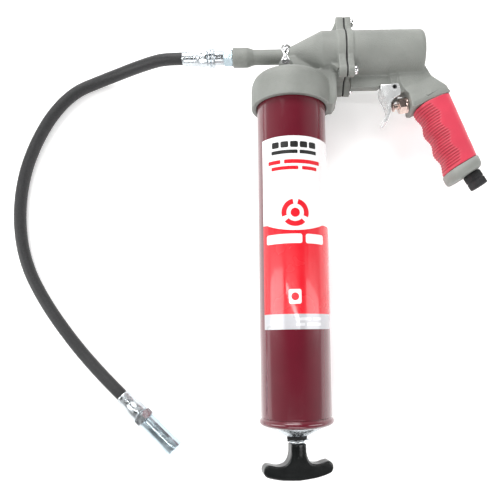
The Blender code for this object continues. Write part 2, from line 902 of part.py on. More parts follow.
def make_rubber_grip():
    rows = 16
    rings = []
    for row in range(rows):
        share = row / (rows - 1)
        low = finger_front(GRIP_LENGTH * share)
        high = GRIP_DEPTH - GRIP_TAPER * share
        section = grip_section(low, high, GRIP_HALF_WIDTH, 2.6, 24)
        points = []
        for across, z in section:
            down = grip_bottom(across) * share
            points.append((*on_grip(across, down), z))
        rings.append(points)
    grip = loft("rubber_grip", RED_RUBBER, rings)
    inside = [
        on_grip(CORE_FRONT - GAP, -0.004),
        on_grip(CORE_BACK + GAP, -0.004),
        on_grip(CORE_BACK + GAP, GRIP_LENGTH + 0.004),
        on_grip(CORE_FRONT - GAP, GRIP_LENGTH + 0.004),
    ]
    cut(grip, outline("grip_hollow", None, inside, CORE_HALF_WIDTH + GAP))


def make_end_cap():
    rings = []
    steps = ((0.0, 0.0), (0.0, 0.55), (0.0006, 0.85), (0.0020, 1.0))
    for inset, share in steps:
        low = -0.0012 + inset
        high = GRIP_DEPTH - GRIP_TAPER + 0.0004 - inset
        section = grip_section(low, high, GRIP_HALF_WIDTH + 0.0004 - inset, 3.0, 24)
        depth = GAP + (CAP_THICK - GAP) * share
        rings.append([(*on_grip(a, grip_bottom(a, depth)), z) for a, z in section])
    cap = loft("grip_end_cap", CAST_GREY, rings)
    top = (*INLET_TOP, 0)
    hole = rod(
        "cap_hole",
        None,
        0.0056,
        -0.014,
        0.004,
        at=top,
        turn=along_axis(INLET_DOWN),
        steps=24,
    )
    cut(cap, hole)


def make_air_inlet():
    """The knurled bush that takes the air line's threaded plug."""
    top = (*INLET_TOP, 0)
    turn = along_axis(INLET_DOWN)
    profile = [
        (INLET_R - 0.0008, GAP),
        (INLET_R, GAP + 0.0008),
        (INLET_R, INLET_LENGTH - 0.0006),
        (INLET_R - 0.0006, INLET_LENGTH),
        (0.0056, INLET_LENGTH),
        (0.0050, INLET_LENGTH - 0.0008),
        (0.0050, 0.0020),
        (0.0030, 0.0020),
        (0.0030, -0.0085),
        (0.0053, -0.0085),
        (0.0053, GAP),
    ]
    turned("air_inlet", BLACK_STEEL, profile, at=top, turn=turn, steps=26)
    ring(
        "inlet_screen",
        STEEL,
        0.0047,
        0.0012,
        0.0020 + GAP,
        0.0032,
        at=top,
        turn=turn,
        steps=16,
    )


# ---------------------------------------------------------------- trigger and valve


def make_trigger():
    """A finger lever, hollow behind, whose two cheeks hang on the pin."""
    hinge = empty("trigger_hinge", (*PIVOT, 0))
    front = [
        (-0.0114, 0.0018),
        (-0.0115, -0.0029),
        (-0.0101, -0.0065),
        (-0.0080, -0.0104),
        (-0.0063, -0.0147),
        (-0.0060, -0.0180),
        (-0.0064, -0.0216),
        (-0.0082, -0.0253),
        (-0.0110, -0.0292),
    ]
    back = [
        (-0.0094, -0.0301),
        (-0.0068, -0.0287),
        (-0.0050, -0.0251),
        (-0.0040, -0.0216),
        (-0.0036, -0.0180),
        (-0.0031, -0.0133),
    ]
    cheek = [(-0.0001, -0.0092), (0.0047, -0.0060), (0.0040, 0.0008), (0.0028, 0.0029)]
    trigger = outline("trigger", CHROME, front + back + cheek, TRIGGER_HALF_WIDTH, parent=hinge)
    soften(trigger, 0.0005, 2, 60)
    thick = 0.0026
    inner = [(x + thick, y) for x, y in front[:5]]
    slot_points = [(inner[0][0], 0.0080)] + inner + [(0.0090, -0.0157), (0.0090, 0.0080)]
    slot = outline("trigger_slot", None, slot_points, TRIGGER_SLOT, parent=hinge)
    bore = rod("trigger_bore", None, PIN_R + GAP, -0.010, 0.010, turn=(0, 0, 0), steps=16)
    bore.parent = hinge
    cut(trigger, slot, bore)


def make_trigger_pin():
    ring(
        "trigger_pin",
        BLACK_STEEL,
        PIN_R,
        0.0008,
        -TRIGGER_HALF_WIDTH + 0.0006,
        TRIGGER_HALF_WIDTH - 0.0006,
        at=(*PIVOT, 0),
        turn=(0, 0, 0),
        steps=16,
    )


def make_valve():
    face = (*VALVE_FACE, 0)
    turn = along_axis(VALVE_OUT)
    nut = outline("valve_nut", BRASS, hexagon(0.0118), 0.0030, parent=empty("nut_frame", face, turn))
    nut.location = (0, 0, GAP + 0.0046)
    flange_profile = [
        (0, 0.0024),
        (NUT_R + 0.0001, 0.0024),
        (NUT_R + 0.0001, GAP),
        (0.0043, GAP),
        (0.0043, -0.0060),
        (0, -0.0060),
    ]
    flange_part = turned("nut_flange", None, flange_profile, at=face, turn=turn, steps=22)
    bore = rod("nut_bore", None, 0.0025, -0.010, 0.012, at=face, turn=turn, steps=20)
    join(nut, flange_part)
    cut(nut, bore)
    stem_frame = empty("stem_slide", face, turn)
    profile = [
        (0, STEM_TIP),
        (STEM_R - 0.0008, STEM_TIP),
        (STEM_R, STEM_TIP - 0.0008),
        (STEM_R, STEM_TIP - 0.0017),
        (0.0022, STEM_TIP - 0.0017),
        (0.0022, -0.0066),
        (0.0036, -0.0070),
        (0.0036, -0.0088),
        (0, -0.0088),
    ]
    turned("valve_stem", BRASS, profile, turn=(0, 0, 0), steps=20, parent=stem_frame)
    wire = 0.00035
    points = coil(0.0030, -0.0088 - GAP - wire, -0.0183 + wire, 4, "X", 8)
    turned_points = [(z, y, x) for x, y, z in points]
    spring = tube("valve_spring", STEEL, turned_points, wire, 1)
    spring.location = face
    spring.rotation_euler = turn


# ---------------------------------------------------------------- hose


def smooth_route(route, step):
    """Points a step apart on a smooth curve through the route."""
    places = [Vector(p) for p in route]
    ends = [places[0] * 2 - places[1], *places, places[-1] * 2 - places[-2]]
    fine = []
    for a, b, c, d in zip(ends, ends[1:], ends[2:], ends[3:]):
        for i in range(24):
            t = i / 24
            fine.append(
                0.5 * (2 * b + (c - a) * t + (2 * a - 5 * b + 4 * c - d) * t**2)
                + 0.5 * (3 * b - a - 3 * c + d) * t**3
            )
    fine.append(places[-1])
    length = sum((q - p).length for p, q in zip(fine, fine[1:]))
    count = round(length / step)
    points = [fine[0]]
    done = 0.0
    for p, q in zip(fine, fine[1:]):
        done += (q - p).length
        if done >= length * len(points) / count - 1e-9 and len(points) < count:
            points.append(q)
    points.append(fine[-1])
    return points


def make_hose():
    tube("hose", RUBBER, smooth_route(HOSE_ROUTE, HOSE_STEP), HOSE_R, HOSE_SIDES, True)


def make_gun_fitting():
    """The swaged fitting that screws into the outlet, with its crimped sleeve."""
    bore = 0.0020
    turned(
        "hose_fitting",
        ZINC,
        [
            (0.0060, FITTING_END - GAP),
            (0.0060, -0.0632),
            (0.0083, -0.0638),
            (0.0084, -0.0655),
            (0.0070, -0.0662),
            (0.0084, -0.0669),
            (0.0083, -0.0686),
            (0.0050, -0.0690),
            (0.0050, -0.0712),
            (bore, -0.0712),
            (bore, FITTING_END - GAP),
        ],
        steps=22,
    )
    turned(
        "hose_ferrule",
        ZINC,
        [
            (0.0060, -0.0693),
            (0.0067, -0.0700),
            (0.0069, -0.0730),
            (0.0067, -0.0765),
            (0.0060, -0.0785),
            (0.0060, -0.0898),
            (0.0058, -0.0908),
            (SLEEVE_BORE_R, -0.0908),
            (SLEEVE_BORE_R, -0.0693),
        ],
        steps=22,
    )


def make_coupler():
    """The grease coupler: crimped sleeve, hexagon, body with wrench flats and three jaws."""
    start = tuple(COUPLER_START)
    turn = COUPLER_AXIS.to_track_quat("Z", "Y").to_euler()
    turned(
        "coupler_ferrule",
        ZINC,
        [
            (SLEEVE_BORE_R, -FERRULE_LENGTH),
            (0.0058, -FERRULE_LENGTH),
            (0.0060, -0.0212),
            (0.0061, -0.0120),
            (0.0072, -0.0060),
            (0.0073, -0.0010),
            (0.0066, -GAP),
            (SLEEVE_BORE_R, -GAP),
        ],
        at=start,
        turn=turn,
        steps=22,
    )
    frame = empty("coupler_frame", start, turn)
    body = outline("coupler_body", ZINC, hexagon(COUPLER_HEX), 0.0032, parent=frame)
    body.location = (0, 0, 0.0036)
    shank = rod("coupler_shank", None, 0.0052, 0.006, 0.0120, turn=(0, 0, 0), steps=24, parent=frame)
    inlet = rod("coupler_inlet", None, 0.0018, -0.003, 0.020, turn=(0, 0, 0), steps=14, parent=frame)
    join(body, shank)
    cut(body, inlet)
    low, high = 0.0068 + GAP, 0.0415
    sleeve = turned(
        "coupler_sleeve",
        CHROME,
        [
            (COUPLER_R - 0.0008, low),
            (COUPLER_R - 0.0004, low + 0.0005),
            (COUPLER_R - 0.0003, high - 0.0090),
            (COUPLER_R + 0.0002, high - 0.0050),
            (COUPLER_R + 0.0002, high - 0.0005),
            (COUPLER_R - 0.0003, high),
            (0.0046, high),
            (0.0042, high - 0.0015),
            (0.0056, high - 0.0080),
            (0.0056, low),
        ],
        turn=(0, 0, 0),
        steps=26,
        parent=frame,
    )
    cut(sleeve, *[flute(number, high - 0.0190, frame) for number in range(FLUTES)])
    make_jaws(frame, high)


def flute(number, along, frame):
    """A cutter for one of the finger flutes round the coupler's sleeve."""
    turn = Matrix.Rotation(2 * math.pi * (number + 0.25) / FLUTES, 3, "Z")
    made = box("coupler_flute", None, (-0.0012, -0.002, -0.0085), (0.0012, 0.002, 0.0085), frame)
    made.location = turn @ Vector((0, FLUTE_FLOOR_R + 0.002, along))
    made.rotation_euler = turn.to_euler()
    return made


def make_jaws(frame, high):
    """Three jaws that close on a grease nipple."""
    for number in range(3):
        middle = 120 * number + 30
        jaw_points = arc((0, 0), 0.0039, middle - 52, middle + 52, 6)
        jaw_points += arc((0, 0), 0.0019, middle + 46, middle - 46, 4)
        jaw = outline(f"coupler_jaw_{number + 1}", STEEL, jaw_points, 0.0060, parent=frame)
        jaw.location = (0, 0, high - 0.0076)


def shade(angle=32):
    for item in PARTS.objects:
        if item.type == "MESH":
            item.data.shade_smooth()
            item.data.set_sharp_from_angle(angle=math.radians(angle))


make_barrel()
make_barrel_end()
make_rod_gland()
make_latch_plate()
make_rod_and_follower()
make_follower_spring()
make_t_handle()
make_pump_head()
make_loader_nipple()
make_barrel_seal()
make_check_valve()
make_outlet_adapter()
make_gasket()
make_flange_screws()
make_motor_housing()
make_piston()
make_rubber_grip()
make_end_cap()
make_air_inlet()
make_trigger()
make_trigger_pin()
make_valve()
make_hose()
make_gun_fitting()
make_coupler()
shade()
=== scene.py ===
from math import atan2, copysign, cos, hypot, pi, radians, sin, sqrt

import bmesh
import bpy
from mathutils import Matrix, Vector


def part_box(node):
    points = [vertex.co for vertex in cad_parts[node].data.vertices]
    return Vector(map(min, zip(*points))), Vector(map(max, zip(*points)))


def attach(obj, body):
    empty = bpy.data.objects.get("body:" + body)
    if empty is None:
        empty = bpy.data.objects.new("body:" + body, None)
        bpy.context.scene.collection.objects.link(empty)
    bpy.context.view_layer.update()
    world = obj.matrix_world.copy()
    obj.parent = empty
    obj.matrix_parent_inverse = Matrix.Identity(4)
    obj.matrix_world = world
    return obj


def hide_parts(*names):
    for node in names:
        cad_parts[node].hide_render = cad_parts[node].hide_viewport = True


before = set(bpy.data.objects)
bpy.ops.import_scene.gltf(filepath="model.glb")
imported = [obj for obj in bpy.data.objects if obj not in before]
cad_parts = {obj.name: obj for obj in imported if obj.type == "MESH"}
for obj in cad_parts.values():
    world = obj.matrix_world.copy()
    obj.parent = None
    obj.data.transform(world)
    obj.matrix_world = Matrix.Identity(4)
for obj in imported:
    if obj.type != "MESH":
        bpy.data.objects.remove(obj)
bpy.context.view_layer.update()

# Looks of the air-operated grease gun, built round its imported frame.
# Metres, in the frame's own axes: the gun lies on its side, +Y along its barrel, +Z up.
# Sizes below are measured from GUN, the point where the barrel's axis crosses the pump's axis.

BARREL_LOW, BARREL_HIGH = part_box("barrel")
PUMP_LOW, PUMP_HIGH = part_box("air_piston")
GUN = Vector(
    ((BARREL_LOW.x + BARREL_HIGH.x) / 2, (PUMP_LOW.y + PUMP_HIGH.y) / 2, (PUMP_LOW.z + PUMP_HIGH.z) / 2)
)
GAP = 0.0003

# ---- camera, light, floor

CAMERA_AT = Vector((-0.0616, -0.0789, 0.4716))
CAMERA_TURN = [radians(a) for a in (5.00, 0.40, -0.90)]
CAMERA_LENS = 38.95
CAMERA_SHIFT = (-0.06, 0.08)
FLOOR_GLOW = 0.32
FLOOR_HALF = 4.0
FLOOR_DROP = 0.0002


def add_to_scene(thing):
    bpy.context.scene.collection.objects.link(thing)


def make_camera():
    data = bpy.data.cameras.new("camera")
    data.sensor_width = 36
    data.lens = CAMERA_LENS
    data.shift_x, data.shift_y = CAMERA_SHIFT
    data.clip_start = 0.01
    camera = bpy.data.objects.new("camera", data)
    camera.location = CAMERA_AT
    camera.rotation_euler = CAMERA_TURN
    add_to_scene(camera)
    bpy.context.scene.camera = camera


def area_light(name, at, towards, size, power):
    data = bpy.data.lights.new(name, "AREA")
    data.shape = "RECTANGLE"
    data.size, data.size_y = size
    data.energy = power
    light = bpy.data.objects.new(name, data)
    light.location = at
    aim = Vector(towards) - Vector(at)
    light.rotation_euler = aim.to_track_quat("-Z", "Y").to_euler()
    add_to_scene(light)


def make_lights():
    """Soft boxes round the gun, a long strip for the barrel's highlight, and a dark zenith."""
    area_light("key", (-0.35, 1.15, 0.95), (-0.03, 0.05, 0), (1.1, 0.8), 21)
    area_light("left", (-1.30, -0.10, 0.75), (-0.05, -0.02, 0), (0.5, 1.3), 11)
    area_light("right", (1.25, -0.15, 0.80), (0, 0, 0), (0.5, 1.3), 10)
    area_light("front", (-0.10, -1.25, 0.95), (-0.05, -0.05, 0), (1.1, 0.5), 7)
    area_light("strip", (-0.20, 0.02, 1.25), (-0.05, 0.0, 0), (0.035, 0.9), 2.2)
    world = bpy.data.worlds.new("studio")
    bpy.context.scene.world = world
    world.use_nodes = True
    nodes, links = world.node_tree.nodes, world.node_tree.links
    place = nodes.new("ShaderNodeTexCoord")
    split = nodes.new("ShaderNodeSeparateXYZ")
    ramp = nodes.new("ShaderNodeValToRGB")
    links.new(place.outputs["Generated"], split.inputs[0])
    links.new(split.outputs["Z"], ramp.inputs[0])
    links.new(ramp.outputs[0], nodes["Background"].inputs["Color"])
    stops = ((0.0, 1.0), (0.35, 0.80), (0.62, 0.55), (0.86, 0.16), (1.0, 0.10))
    ramp.color_ramp.elements[0].color = (stops[0][1],) * 3 + (1,)
    ramp.color_ramp.elements[1].color = (stops[-1][1],) * 3 + (1,)
    for at, value in stops[1:-1]:
        ramp.color_ramp.elements.new(at).color = (value,) * 3 + (1,)
    nodes["Background"].inputs["Strength"].default_value = 0.62
    bpy.context.scene.view_settings.view_transform = "Standard"


def make_floor():
    mesh = bpy.data.meshes.new("floor")
    corners = [(x * FLOOR_HALF, y * FLOOR_HALF, 0) for x, y in ((-1, -1), (1, -1), (1, 1), (-1, 1))]
    mesh.from_pydata(corners, [], [(0, 1, 2, 3)])
    floor = bpy.data.objects.new("floor", mesh)
    floor.location.z = -FLOOR_DROP
    add_to_scene(floor)
    paper = look("floor_white", (0.93, 0.93, 0.925), 0.65, shade=(9, 0.012))
    shader = paper.node_tree.nodes["Principled BSDF"]
    shader.inputs["Emission Color"].default_value = (1, 1, 1, 1)
    shader.inputs["Emission Strength"].default_value = FLOOR_GLOW
    mesh.materials.append(paper)


# ---- materials


def noise(nodes, links, place, scale, detail=4.0, stretch=None):
    """A noise in the piece's own coordinates, with scale features to a metre."""
    made = nodes.new("ShaderNodeTexNoise")
    made.inputs["Scale"].default_value = scale
    made.inputs["Detail"].default_value = detail
    source = place
    if stretch:
        mapping = nodes.new("ShaderNodeMapping")
        mapping.inputs["Scale"].default_value = stretch
        links.new(place, mapping.inputs["Vector"])
        source = mapping.outputs["Vector"]
    links.new(source, made.inputs["Vector"])
    return made.outputs["Fac"]


def span(nodes, links, source, low, high, from_low=0.3, from_high=0.7):
    made = nodes.new("ShaderNodeMapRange")
    made.inputs["From Min"].default_value = from_low
    made.inputs["From Max"].default_value = from_high
    made.inputs["To Min"].default_value = low
    made.inputs["To Max"].default_value = high
    links.new(source, made.inputs["Value"])
    return made.outputs["Result"]


def tint(nodes, links, factor, first, second):
    """Colour between first and second, each a colour or a socket."""
    mix = nodes.new("ShaderNodeMix")
    mix.data_type = "RGBA"
    links.new(factor, mix.inputs[0])
    for socket, value in ((mix.inputs[6], first), (mix.inputs[7], second)):
        if isinstance(value, bpy.types.NodeSocket):
            links.new(value, socket)
        else:
            socket.default_value = (*value, 1)
    return mix.outputs[2]


def look(
    name, colour, rough, metallic=0.0, shade=(60, 0.08), grain=None, rough_spread=0.06,
    coat=0.0, stretch=None, worn=None, painted_shade_colour=None,
):
    """A surface with uneven tone and gloss.

    shade is (features to a metre, strength) of its uneven tone, and grain (features to a metre,
    depth in metres) of its fine relief. worn is the colour that shows on rubbed edges, and the last
    argument a painted shade: a darker colour mixed in where the point attribute low is set, in hollows.
    """
    made = bpy.data.materials.new(name)
    made.use_nodes = True
    nodes, links = made.node_tree.nodes, made.node_tree.links
    shader = nodes["Principled BSDF"]
    place = nodes.new("ShaderNodeTexCoord").outputs["Object"]
    scale, strength = shade
    tone = span(nodes, links, noise(nodes, links, place, scale, 5, stretch), 0, 1)
    dark = tuple(c * (1 - strength) for c in colour)
    light = tuple(min(1, c * (1 + strength)) for c in colour)
    base = tint(nodes, links, tone, dark, light)
    # Painted shade: a darker colour goes in the hollows where the point attribute low is set.
    if painted_shade_colour:
        attribute = nodes.new("ShaderNodeAttribute")
        attribute.attribute_name = "low"
        base = tint(nodes, links, attribute.outputs["Fac"], base, painted_shade_colour)
    if worn:
        edges = nodes.new("ShaderNodeNewGeometry").outputs["Pointiness"]
        rubbed = span(nodes, links, edges, 0, 0.65, 0.515, 0.60)
        base = tint(nodes, links, rubbed, base, worn)
    links.new(base, shader.inputs["Base Color"])
    gloss = noise(nodes, links, place, scale * 2.3, 3, stretch)
    spread = span(nodes, links, gloss, rough - rough_spread, rough + rough_spread)
    links.new(spread, shader.inputs["Roughness"])
    shader.inputs["Metallic"].default_value = metallic
    shader.inputs["Coat Weight"].default_value = coat
    shader.inputs["Coat Roughness"].default_value = 0.04
    if grain:
        fine, depth = grain
        relief = noise(nodes, links, place, fine, 3, stretch)
        bump = nodes.new("ShaderNodeBump")
        bump.inputs["Strength"].default_value = 1.0
        bump.inputs["Distance"].default_value = depth
        links.new(relief, bump.inputs["Height"])
        links.new(bump.outputs["Normal"], shader.inputs["Normal"])
    return made


CAST = look(
    "cast_grey", (0.222, 0.232, 0.214), 0.52, 0.10, shade=(45, 0.10), grain=(1100, 0.00040),
    worn=(0.42, 0.43, 0.41),
)
MAROON = look(
    "maroon_gloss", (0.120, 0.006, 0.017), 0.22, shade=(25, 0.10), grain=(160, 0.00004), rough_spread=0.03,
    coat=0.7,
)
CHROME = look("chrome_plate", (0.80, 0.80, 0.81), 0.11, 1.0, shade=(70, 0.05), rough_spread=0.04)
ZINC = look(
    "zinc_plate", (0.62, 0.66, 0.69), 0.26, 1.0, shade=(190, 0.12), grain=(1500, 0.00006),
    rough_spread=0.09,
)
SATIN = look(
    "satin_chrome", (0.74, 0.75, 0.75), 0.26, 0.55, shade=(80, 0.06), grain=(700, 0.00003),
    rough_spread=0.05,
)
BLUE_ZINC = look("blue_zinc_plate", (0.55, 0.66, 0.72), 0.22, 0.85, shade=(120, 0.10), rough_spread=0.08)
NICKEL = look("nickel_brass", (0.66, 0.52, 0.47), 0.20, 1.0, shade=(150, 0.12), rough_spread=0.07)
STEEL = look(
    "turned_steel", (0.50, 0.50, 0.50), 0.32, 1.0, shade=(90, 0.08), grain=(900, 0.00005),
    stretch=(1, 0.15, 1),
)
BLACK_STEEL = look(
    "black_oxide_steel", (0.022, 0.022, 0.024), 0.40, 0.6, shade=(120, 0.3), grain=(900, 0.00008),
    worn=(0.10, 0.10, 0.10),
)
HOSE_RUBBER = look(
    "hose_rubber", (0.012, 0.012, 0.013), 0.50, shade=(700, 0.45), grain=(1500, 0.00022),
    rough_spread=0.08,
)
SEAL_RUBBER = look("seal_rubber", (0.014, 0.014, 0.014), 0.62, shade=(160, 0.25), grain=(900, 0.0001))
# The red rubber's ribbed hollows get a darker red as painted shade.
RED_RUBBER = look(
    "red_rubber", (0.60, 0.042, 0.078), 0.44, shade=(35, 0.10), grain=(1400, 0.00012),
    painted_shade_colour=(0.30, 0.006, 0.022),
)
BLACK_PLASTIC = look(
    "black_plastic", (0.008, 0.009, 0.009), 0.22, shade=(50, 0.25), grain=(260, 0.00005),
    rough_spread=0.05,
)
LABEL_WHITE = look("label_white", (0.86, 0.86, 0.86), 0.25, shade=(14, 0.02), coat=0.4)
LABEL_RED = look("label_red", (0.70, 0.010, 0.022), 0.25, shade=(14, 0.05), coat=0.4)
LABEL_BLACK = look("label_black", (0.014, 0.014, 0.014), 0.3, shade=(60, 0.2), coat=0.4)
LABEL_GREY = look("label_grey", (0.50, 0.50, 0.525), 0.3, 0.10, shade=(30, 0.05), coat=0.4)
LABEL_PALE = look("label_pale", (0.68, 0.68, 0.70), 0.3, 0.1, shade=(30, 0.04), coat=0.4)

# ---- making shapes


def finish(shape, name, material, replaces=(), smooth=35, body="gun_body"):
    """The bmesh shape, in gun coordinates, as a piece in the frame that rides on body."""
    mesh = bpy.data.meshes.new(name)
    bmesh.ops.translate(shape, verts=shape.verts, vec=GUN)
    shape.to_mesh(mesh)
    shape.free()
    mesh.shade_smooth()
    mesh.set_sharp_from_angle(angle=radians(smooth))
    for one in material if isinstance(material, (list, tuple)) else [material]:
        mesh.materials.append(one)
    piece = bpy.data.objects.new(name, mesh)
    add_to_scene(piece)
    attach(piece, body)
    if replaces:
        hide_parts(*replaces)
    return piece


def skin(shape, low, high):
    """Faces between two loops with as many points."""
    for i in range(len(low)):
        j = (i + 1) % len(low)
        shape.faces.new((low[i], low[j], high[j], high[i]))


def face_outwards(shape):
    bmesh.ops.recalc_face_normals(shape, faces=shape.faces)


def place(shape, at=(0, 0, 0), axis=None, twist=0.0):
    """Moves a shape made about +Z so that +Z points along axis, from the point at."""
    turn = Matrix.Rotation(twist, 4, "Z")
    if axis is not None:
        turn = Vector(axis).to_track_quat("Z", "Y").to_matrix().to_4x4() @ turn
    shape.transform(Matrix.Translation(at) @ turn)
    return shape


def turned(profile, at=(0, 0, 0), axis=(0, 0, 1), steps=72, bevel=0.0, closed=False):
    """A turned solid from (radius, along) points; closed joins the last point to the first."""
    shape = bmesh.new()
    loops = []
    for radius, along in profile:
        if radius == 0:
            loops.append([shape.verts.new((0, 0, along))])
            continue
        angles = [2 * pi * i / steps for i in range(steps)]
        loops.append([shape.verts.new((radius * cos(a), radius * sin(a), along)) for a in angles])
    pairs = list(zip(loops, loops[1:]))
    if closed:
        pairs.append((loops[-1], loops[0]))
    for first, second in pairs:
        for i in range(steps):
            j = (i + 1) % steps
            corners = [first[i % len(first)], first[j % len(first)]]
            corners += [second[j % len(second)], second[i % len(second)]]
            shape.faces.new(list(dict.fromkeys(corners)))
    face_outwards(shape)
    if bevel:
        round_edges(shape, bevel)
    return place(shape, at, axis)


def round_edges(shape, width, segments=2, angle=28):
    sharp = [e for e in shape.edges if len(e.link_faces) == 2 and e.calc_face_angle() > radians(angle)]
    bmesh.ops.bevel(
        shape, geom=sharp, offset=width, segments=segments, profile=0.5, affect="EDGES",
        clamp_overlap=True,
    )


def rod(radius, start, end, at=(0, 0, 0), axis=(0, 0, 1), steps=64):
    profile = [(0, start), (radius, start), (radius, end), (0, end)]
    return turned(profile, at, axis, steps)


def slab(points, half, at=(0, 0, 0), bevel=0.0, segments=2, angle=28):
    """A flat outline in X and Y, with half its thickness to each side."""
    shape = bmesh.new()
    low = [shape.verts.new((x, y, -half)) for x, y in points]
    high = [shape.verts.new((x, y, half)) for x, y in points]
    shape.faces.new(low[::-1])
    shape.faces.new(high)
    skin(shape, low, high)
    face_outwards(shape)
    if bevel:
        round_edges(shape, bevel, segments, angle)
    return place(shape, at)


def arc(middle, radius, start, end, steps):
    angles = [radians(start + (end - start) * i / steps) for i in range(steps + 1)]
    return [(middle[0] + radius * cos(a), middle[1] + radius * sin(a)) for a in angles]


def hexagon(across_flats):
    return arc((0, 0), across_flats / sqrt(3), 0, 300, 5)


def curve_through(points, parts):
    """A smooth line through the points, with so many parts between each two."""
    last = len(points) - 1
    made = []
    for i in range(last):
        a, b, c, d = (Vector(points[min(max(i + k, 0), last)]) for k in (-1, 0, 1, 2))
        for k in range(parts):
            t = k / parts
            made.append(
                0.5 * (2 * b + (c - a) * t + (2 * a - 5 * b + 4 * c - d) * t**2)
                + 0.5 * (3 * b - a - 3 * c + d) * t**3
            )
    made.append(Vector(points[last]))
    return [tuple(p) for p in made]


def merged(shapes):
    """Several closed shapes in one bmesh, still overlapping."""
    whole = bmesh.new()
    for shape in shapes:
        mesh = bpy.data.meshes.new("part")
        shape.to_mesh(mesh)
        shape.free()
        whole.from_mesh(mesh)
        bpy.data.meshes.remove(mesh)
    return whole


def as_object(shape, name):
    mesh = bpy.data.meshes.new(name)
    shape.to_mesh(mesh)
    shape.free()
    made = bpy.data.objects.new(name, mesh)
    add_to_scene(made)
    return made


def evaluated(thing):
    """The object's shape with its modifiers, as a bmesh; the object goes."""
    graph = bpy.context.evaluated_depsgraph_get()
    graph.update()
    mesh = bpy.data.meshes.new_from_object(thing.evaluated_get(graph))
    shape = bmesh.new()
    shape.from_mesh(mesh)
    bpy.data.meshes.remove(mesh)
    bpy.data.objects.remove(thing, do_unlink=True)
    return shape


def combined(shape, others, operation):
    """Boolean of closed shapes."""
    base = as_object(shape, "base")
    tools = [as_object(other, "tool") for other in others]
    for tool in tools:
        step = base.modifiers.new("Step", "BOOLEAN")
        step.operation = operation
        step.solver = "MANIFOLD"
        step.object = tool
    made = evaluated(base)
    for tool in tools:
        bpy.data.objects.remove(tool, do_unlink=True)
    return made


def cut(shape, *others):
    return combined(shape, others, "DIFFERENCE")


def cast(shapes, voxel=0.0006, rounds=4):
    """One casting from overlapping shapes, with the soft corners that a mould leaves."""
    thing = as_object(merged(shapes), "casting")
    remesh = thing.modifiers.new("Remesh", "REMESH")
    remesh.mode = "VOXEL"
    remesh.voxel_size = voxel
    smooth = thing.modifiers.new("Smooth", "SMOOTH")
    smooth.factor = 0.6
    smooth.iterations = rounds
    return evaluated(thing)


def nut(across, low, high, chamfer=0.0006):
    """A hexagon about +Z with its corners turned off at both ends."""
    body = slab(hexagon(across), (high - low) / 2, (0, 0, (low + high) / 2))
    corner = across / sqrt(3)
    ends_profile = [
        (0, low), (across / 2, low), (corner, low + chamfer), (corner, high - chamfer), (across / 2, high),
        (0, high),
    ]
    ends = turned(ends_profile, steps=72)
    return combined(body, [ends], "INTERSECT")


# ---- hose

HOSE_R = 0.0051
HOSE_STEP = 0.0030
HOSE_ROUTE = (
    (-0.0725, 0.0000, 0.0000),
    (-0.0830, 0.0000, 0.0000),
    (-0.0935, 0.0002, -0.0003),
    (-0.1110, 0.0012, -0.0040),
    (-0.1325, 0.0005, -0.0135),
    (-0.1545, -0.0022, -0.0225),
    (-0.1735, -0.0068, -0.0270),
    (-0.1890, -0.0132, -0.0278),
    (-0.2020, -0.0235, -0.0278),
    (-0.2135, -0.0375, -0.0278),
    (-0.2225, -0.0530, -0.0278),
    (-0.2295, -0.0690, -0.0278),
    (-0.2350, -0.0865, -0.0278),
    (-0.2382, -0.1050, -0.0278),
    (-0.2392, -0.1230, -0.0278),
    (-0.2382, -0.1400, -0.0278),
    (-0.2350, -0.1580, -0.0278),
    (-0.2290, -0.1760, -0.0278),
    (-0.2205, -0.1930, -0.0278),
    (-0.2090, -0.2115, -0.0278),
    (-0.1960, -0.2295, -0.0278),
    (-0.1815, -0.2475, -0.0277),
    (-0.1645, -0.2656, -0.0260),
    (-0.1504, -0.2793, -0.0243),
    (-0.1430, -0.2867, -0.0242),
    (-0.1345, -0.2952, -0.0242),
)


def hose_points():
    """Points HOSE_STEP apart on a smooth curve through the route, and the curve's length."""
    fine = [Vector(p) for p in curve_through(HOSE_ROUTE, 24)]
    length = sum((q - p).length for p, q in zip(fine, fine[1:]))
    count = round(length / HOSE_STEP)
    points = [fine[0]]
    done = 0.0
    for p, q in zip(fine, fine[1:]):
        done += (q - p).length
        if done >= length * len(points) / count and len(points) < count:
            points.append(q)
    points.append(fine[-1])
    return points, length


def make_hose():
    points, length = hose_points()
    data = bpy.data.curves.new("delivery_hose", "CURVE")
    data.dimensions = "3D"
    data.bevel_depth = HOSE_R
    data.bevel_resolution = 8
    data.use_fill_caps = True
    spline = data.splines.new("POLY")
    spline.points.add(len(points) - 1)
    for knot, point in zip(spline.points, points):
        knot.co = (*(point + GUN), 1)
    data.materials.append(HOSE_RUBBER)
    hose = bpy.data.objects.new("delivery_hose", data)
    add_to_scene(hose)
    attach(hose, "gun_body")
    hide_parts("hose")
    return hose, length


# ---- fittings on the hose

PUMP_AXIS = (1, 0, 0)
SLEEVE_BORE_R = 0.0055
BORE_MARGIN = 0.0002
CRIMP_JAWS = 8
FITTING_END = -0.0560
COUPLER_START = Vector((-0.1310, -0.2987, -0.0242))
COUPLER_AXIS = Vector((1, -1, 0)).normalized()
COUPLER_R = 0.0070
COUPLER_END = 0.0415
FERRULE_LENGTH = 0.0220
FLUTES = 6


def make_gun_fitting():
    profile = [
        (0.0060, FITTING_END - GAP), (0.0060, -0.0632), (0.0078, -0.0635), (0.0084, -0.0641),
        (0.0084, -0.0653), (0.0070, -0.0662), (0.0084, -0.0671), (0.0084, -0.0683), (0.0078, -0.0688),
        (0.0050, -0.0690), (0.0050, -0.0712), (0.0020, -0.0712), (0.0020, FITTING_END - GAP),
    ]
    shape = turned(profile, axis=PUMP_AXIS, closed=True, bevel=0.00018)
    return finish(shape, "swivel_fitting", ZINC, ["hose_fitting"])


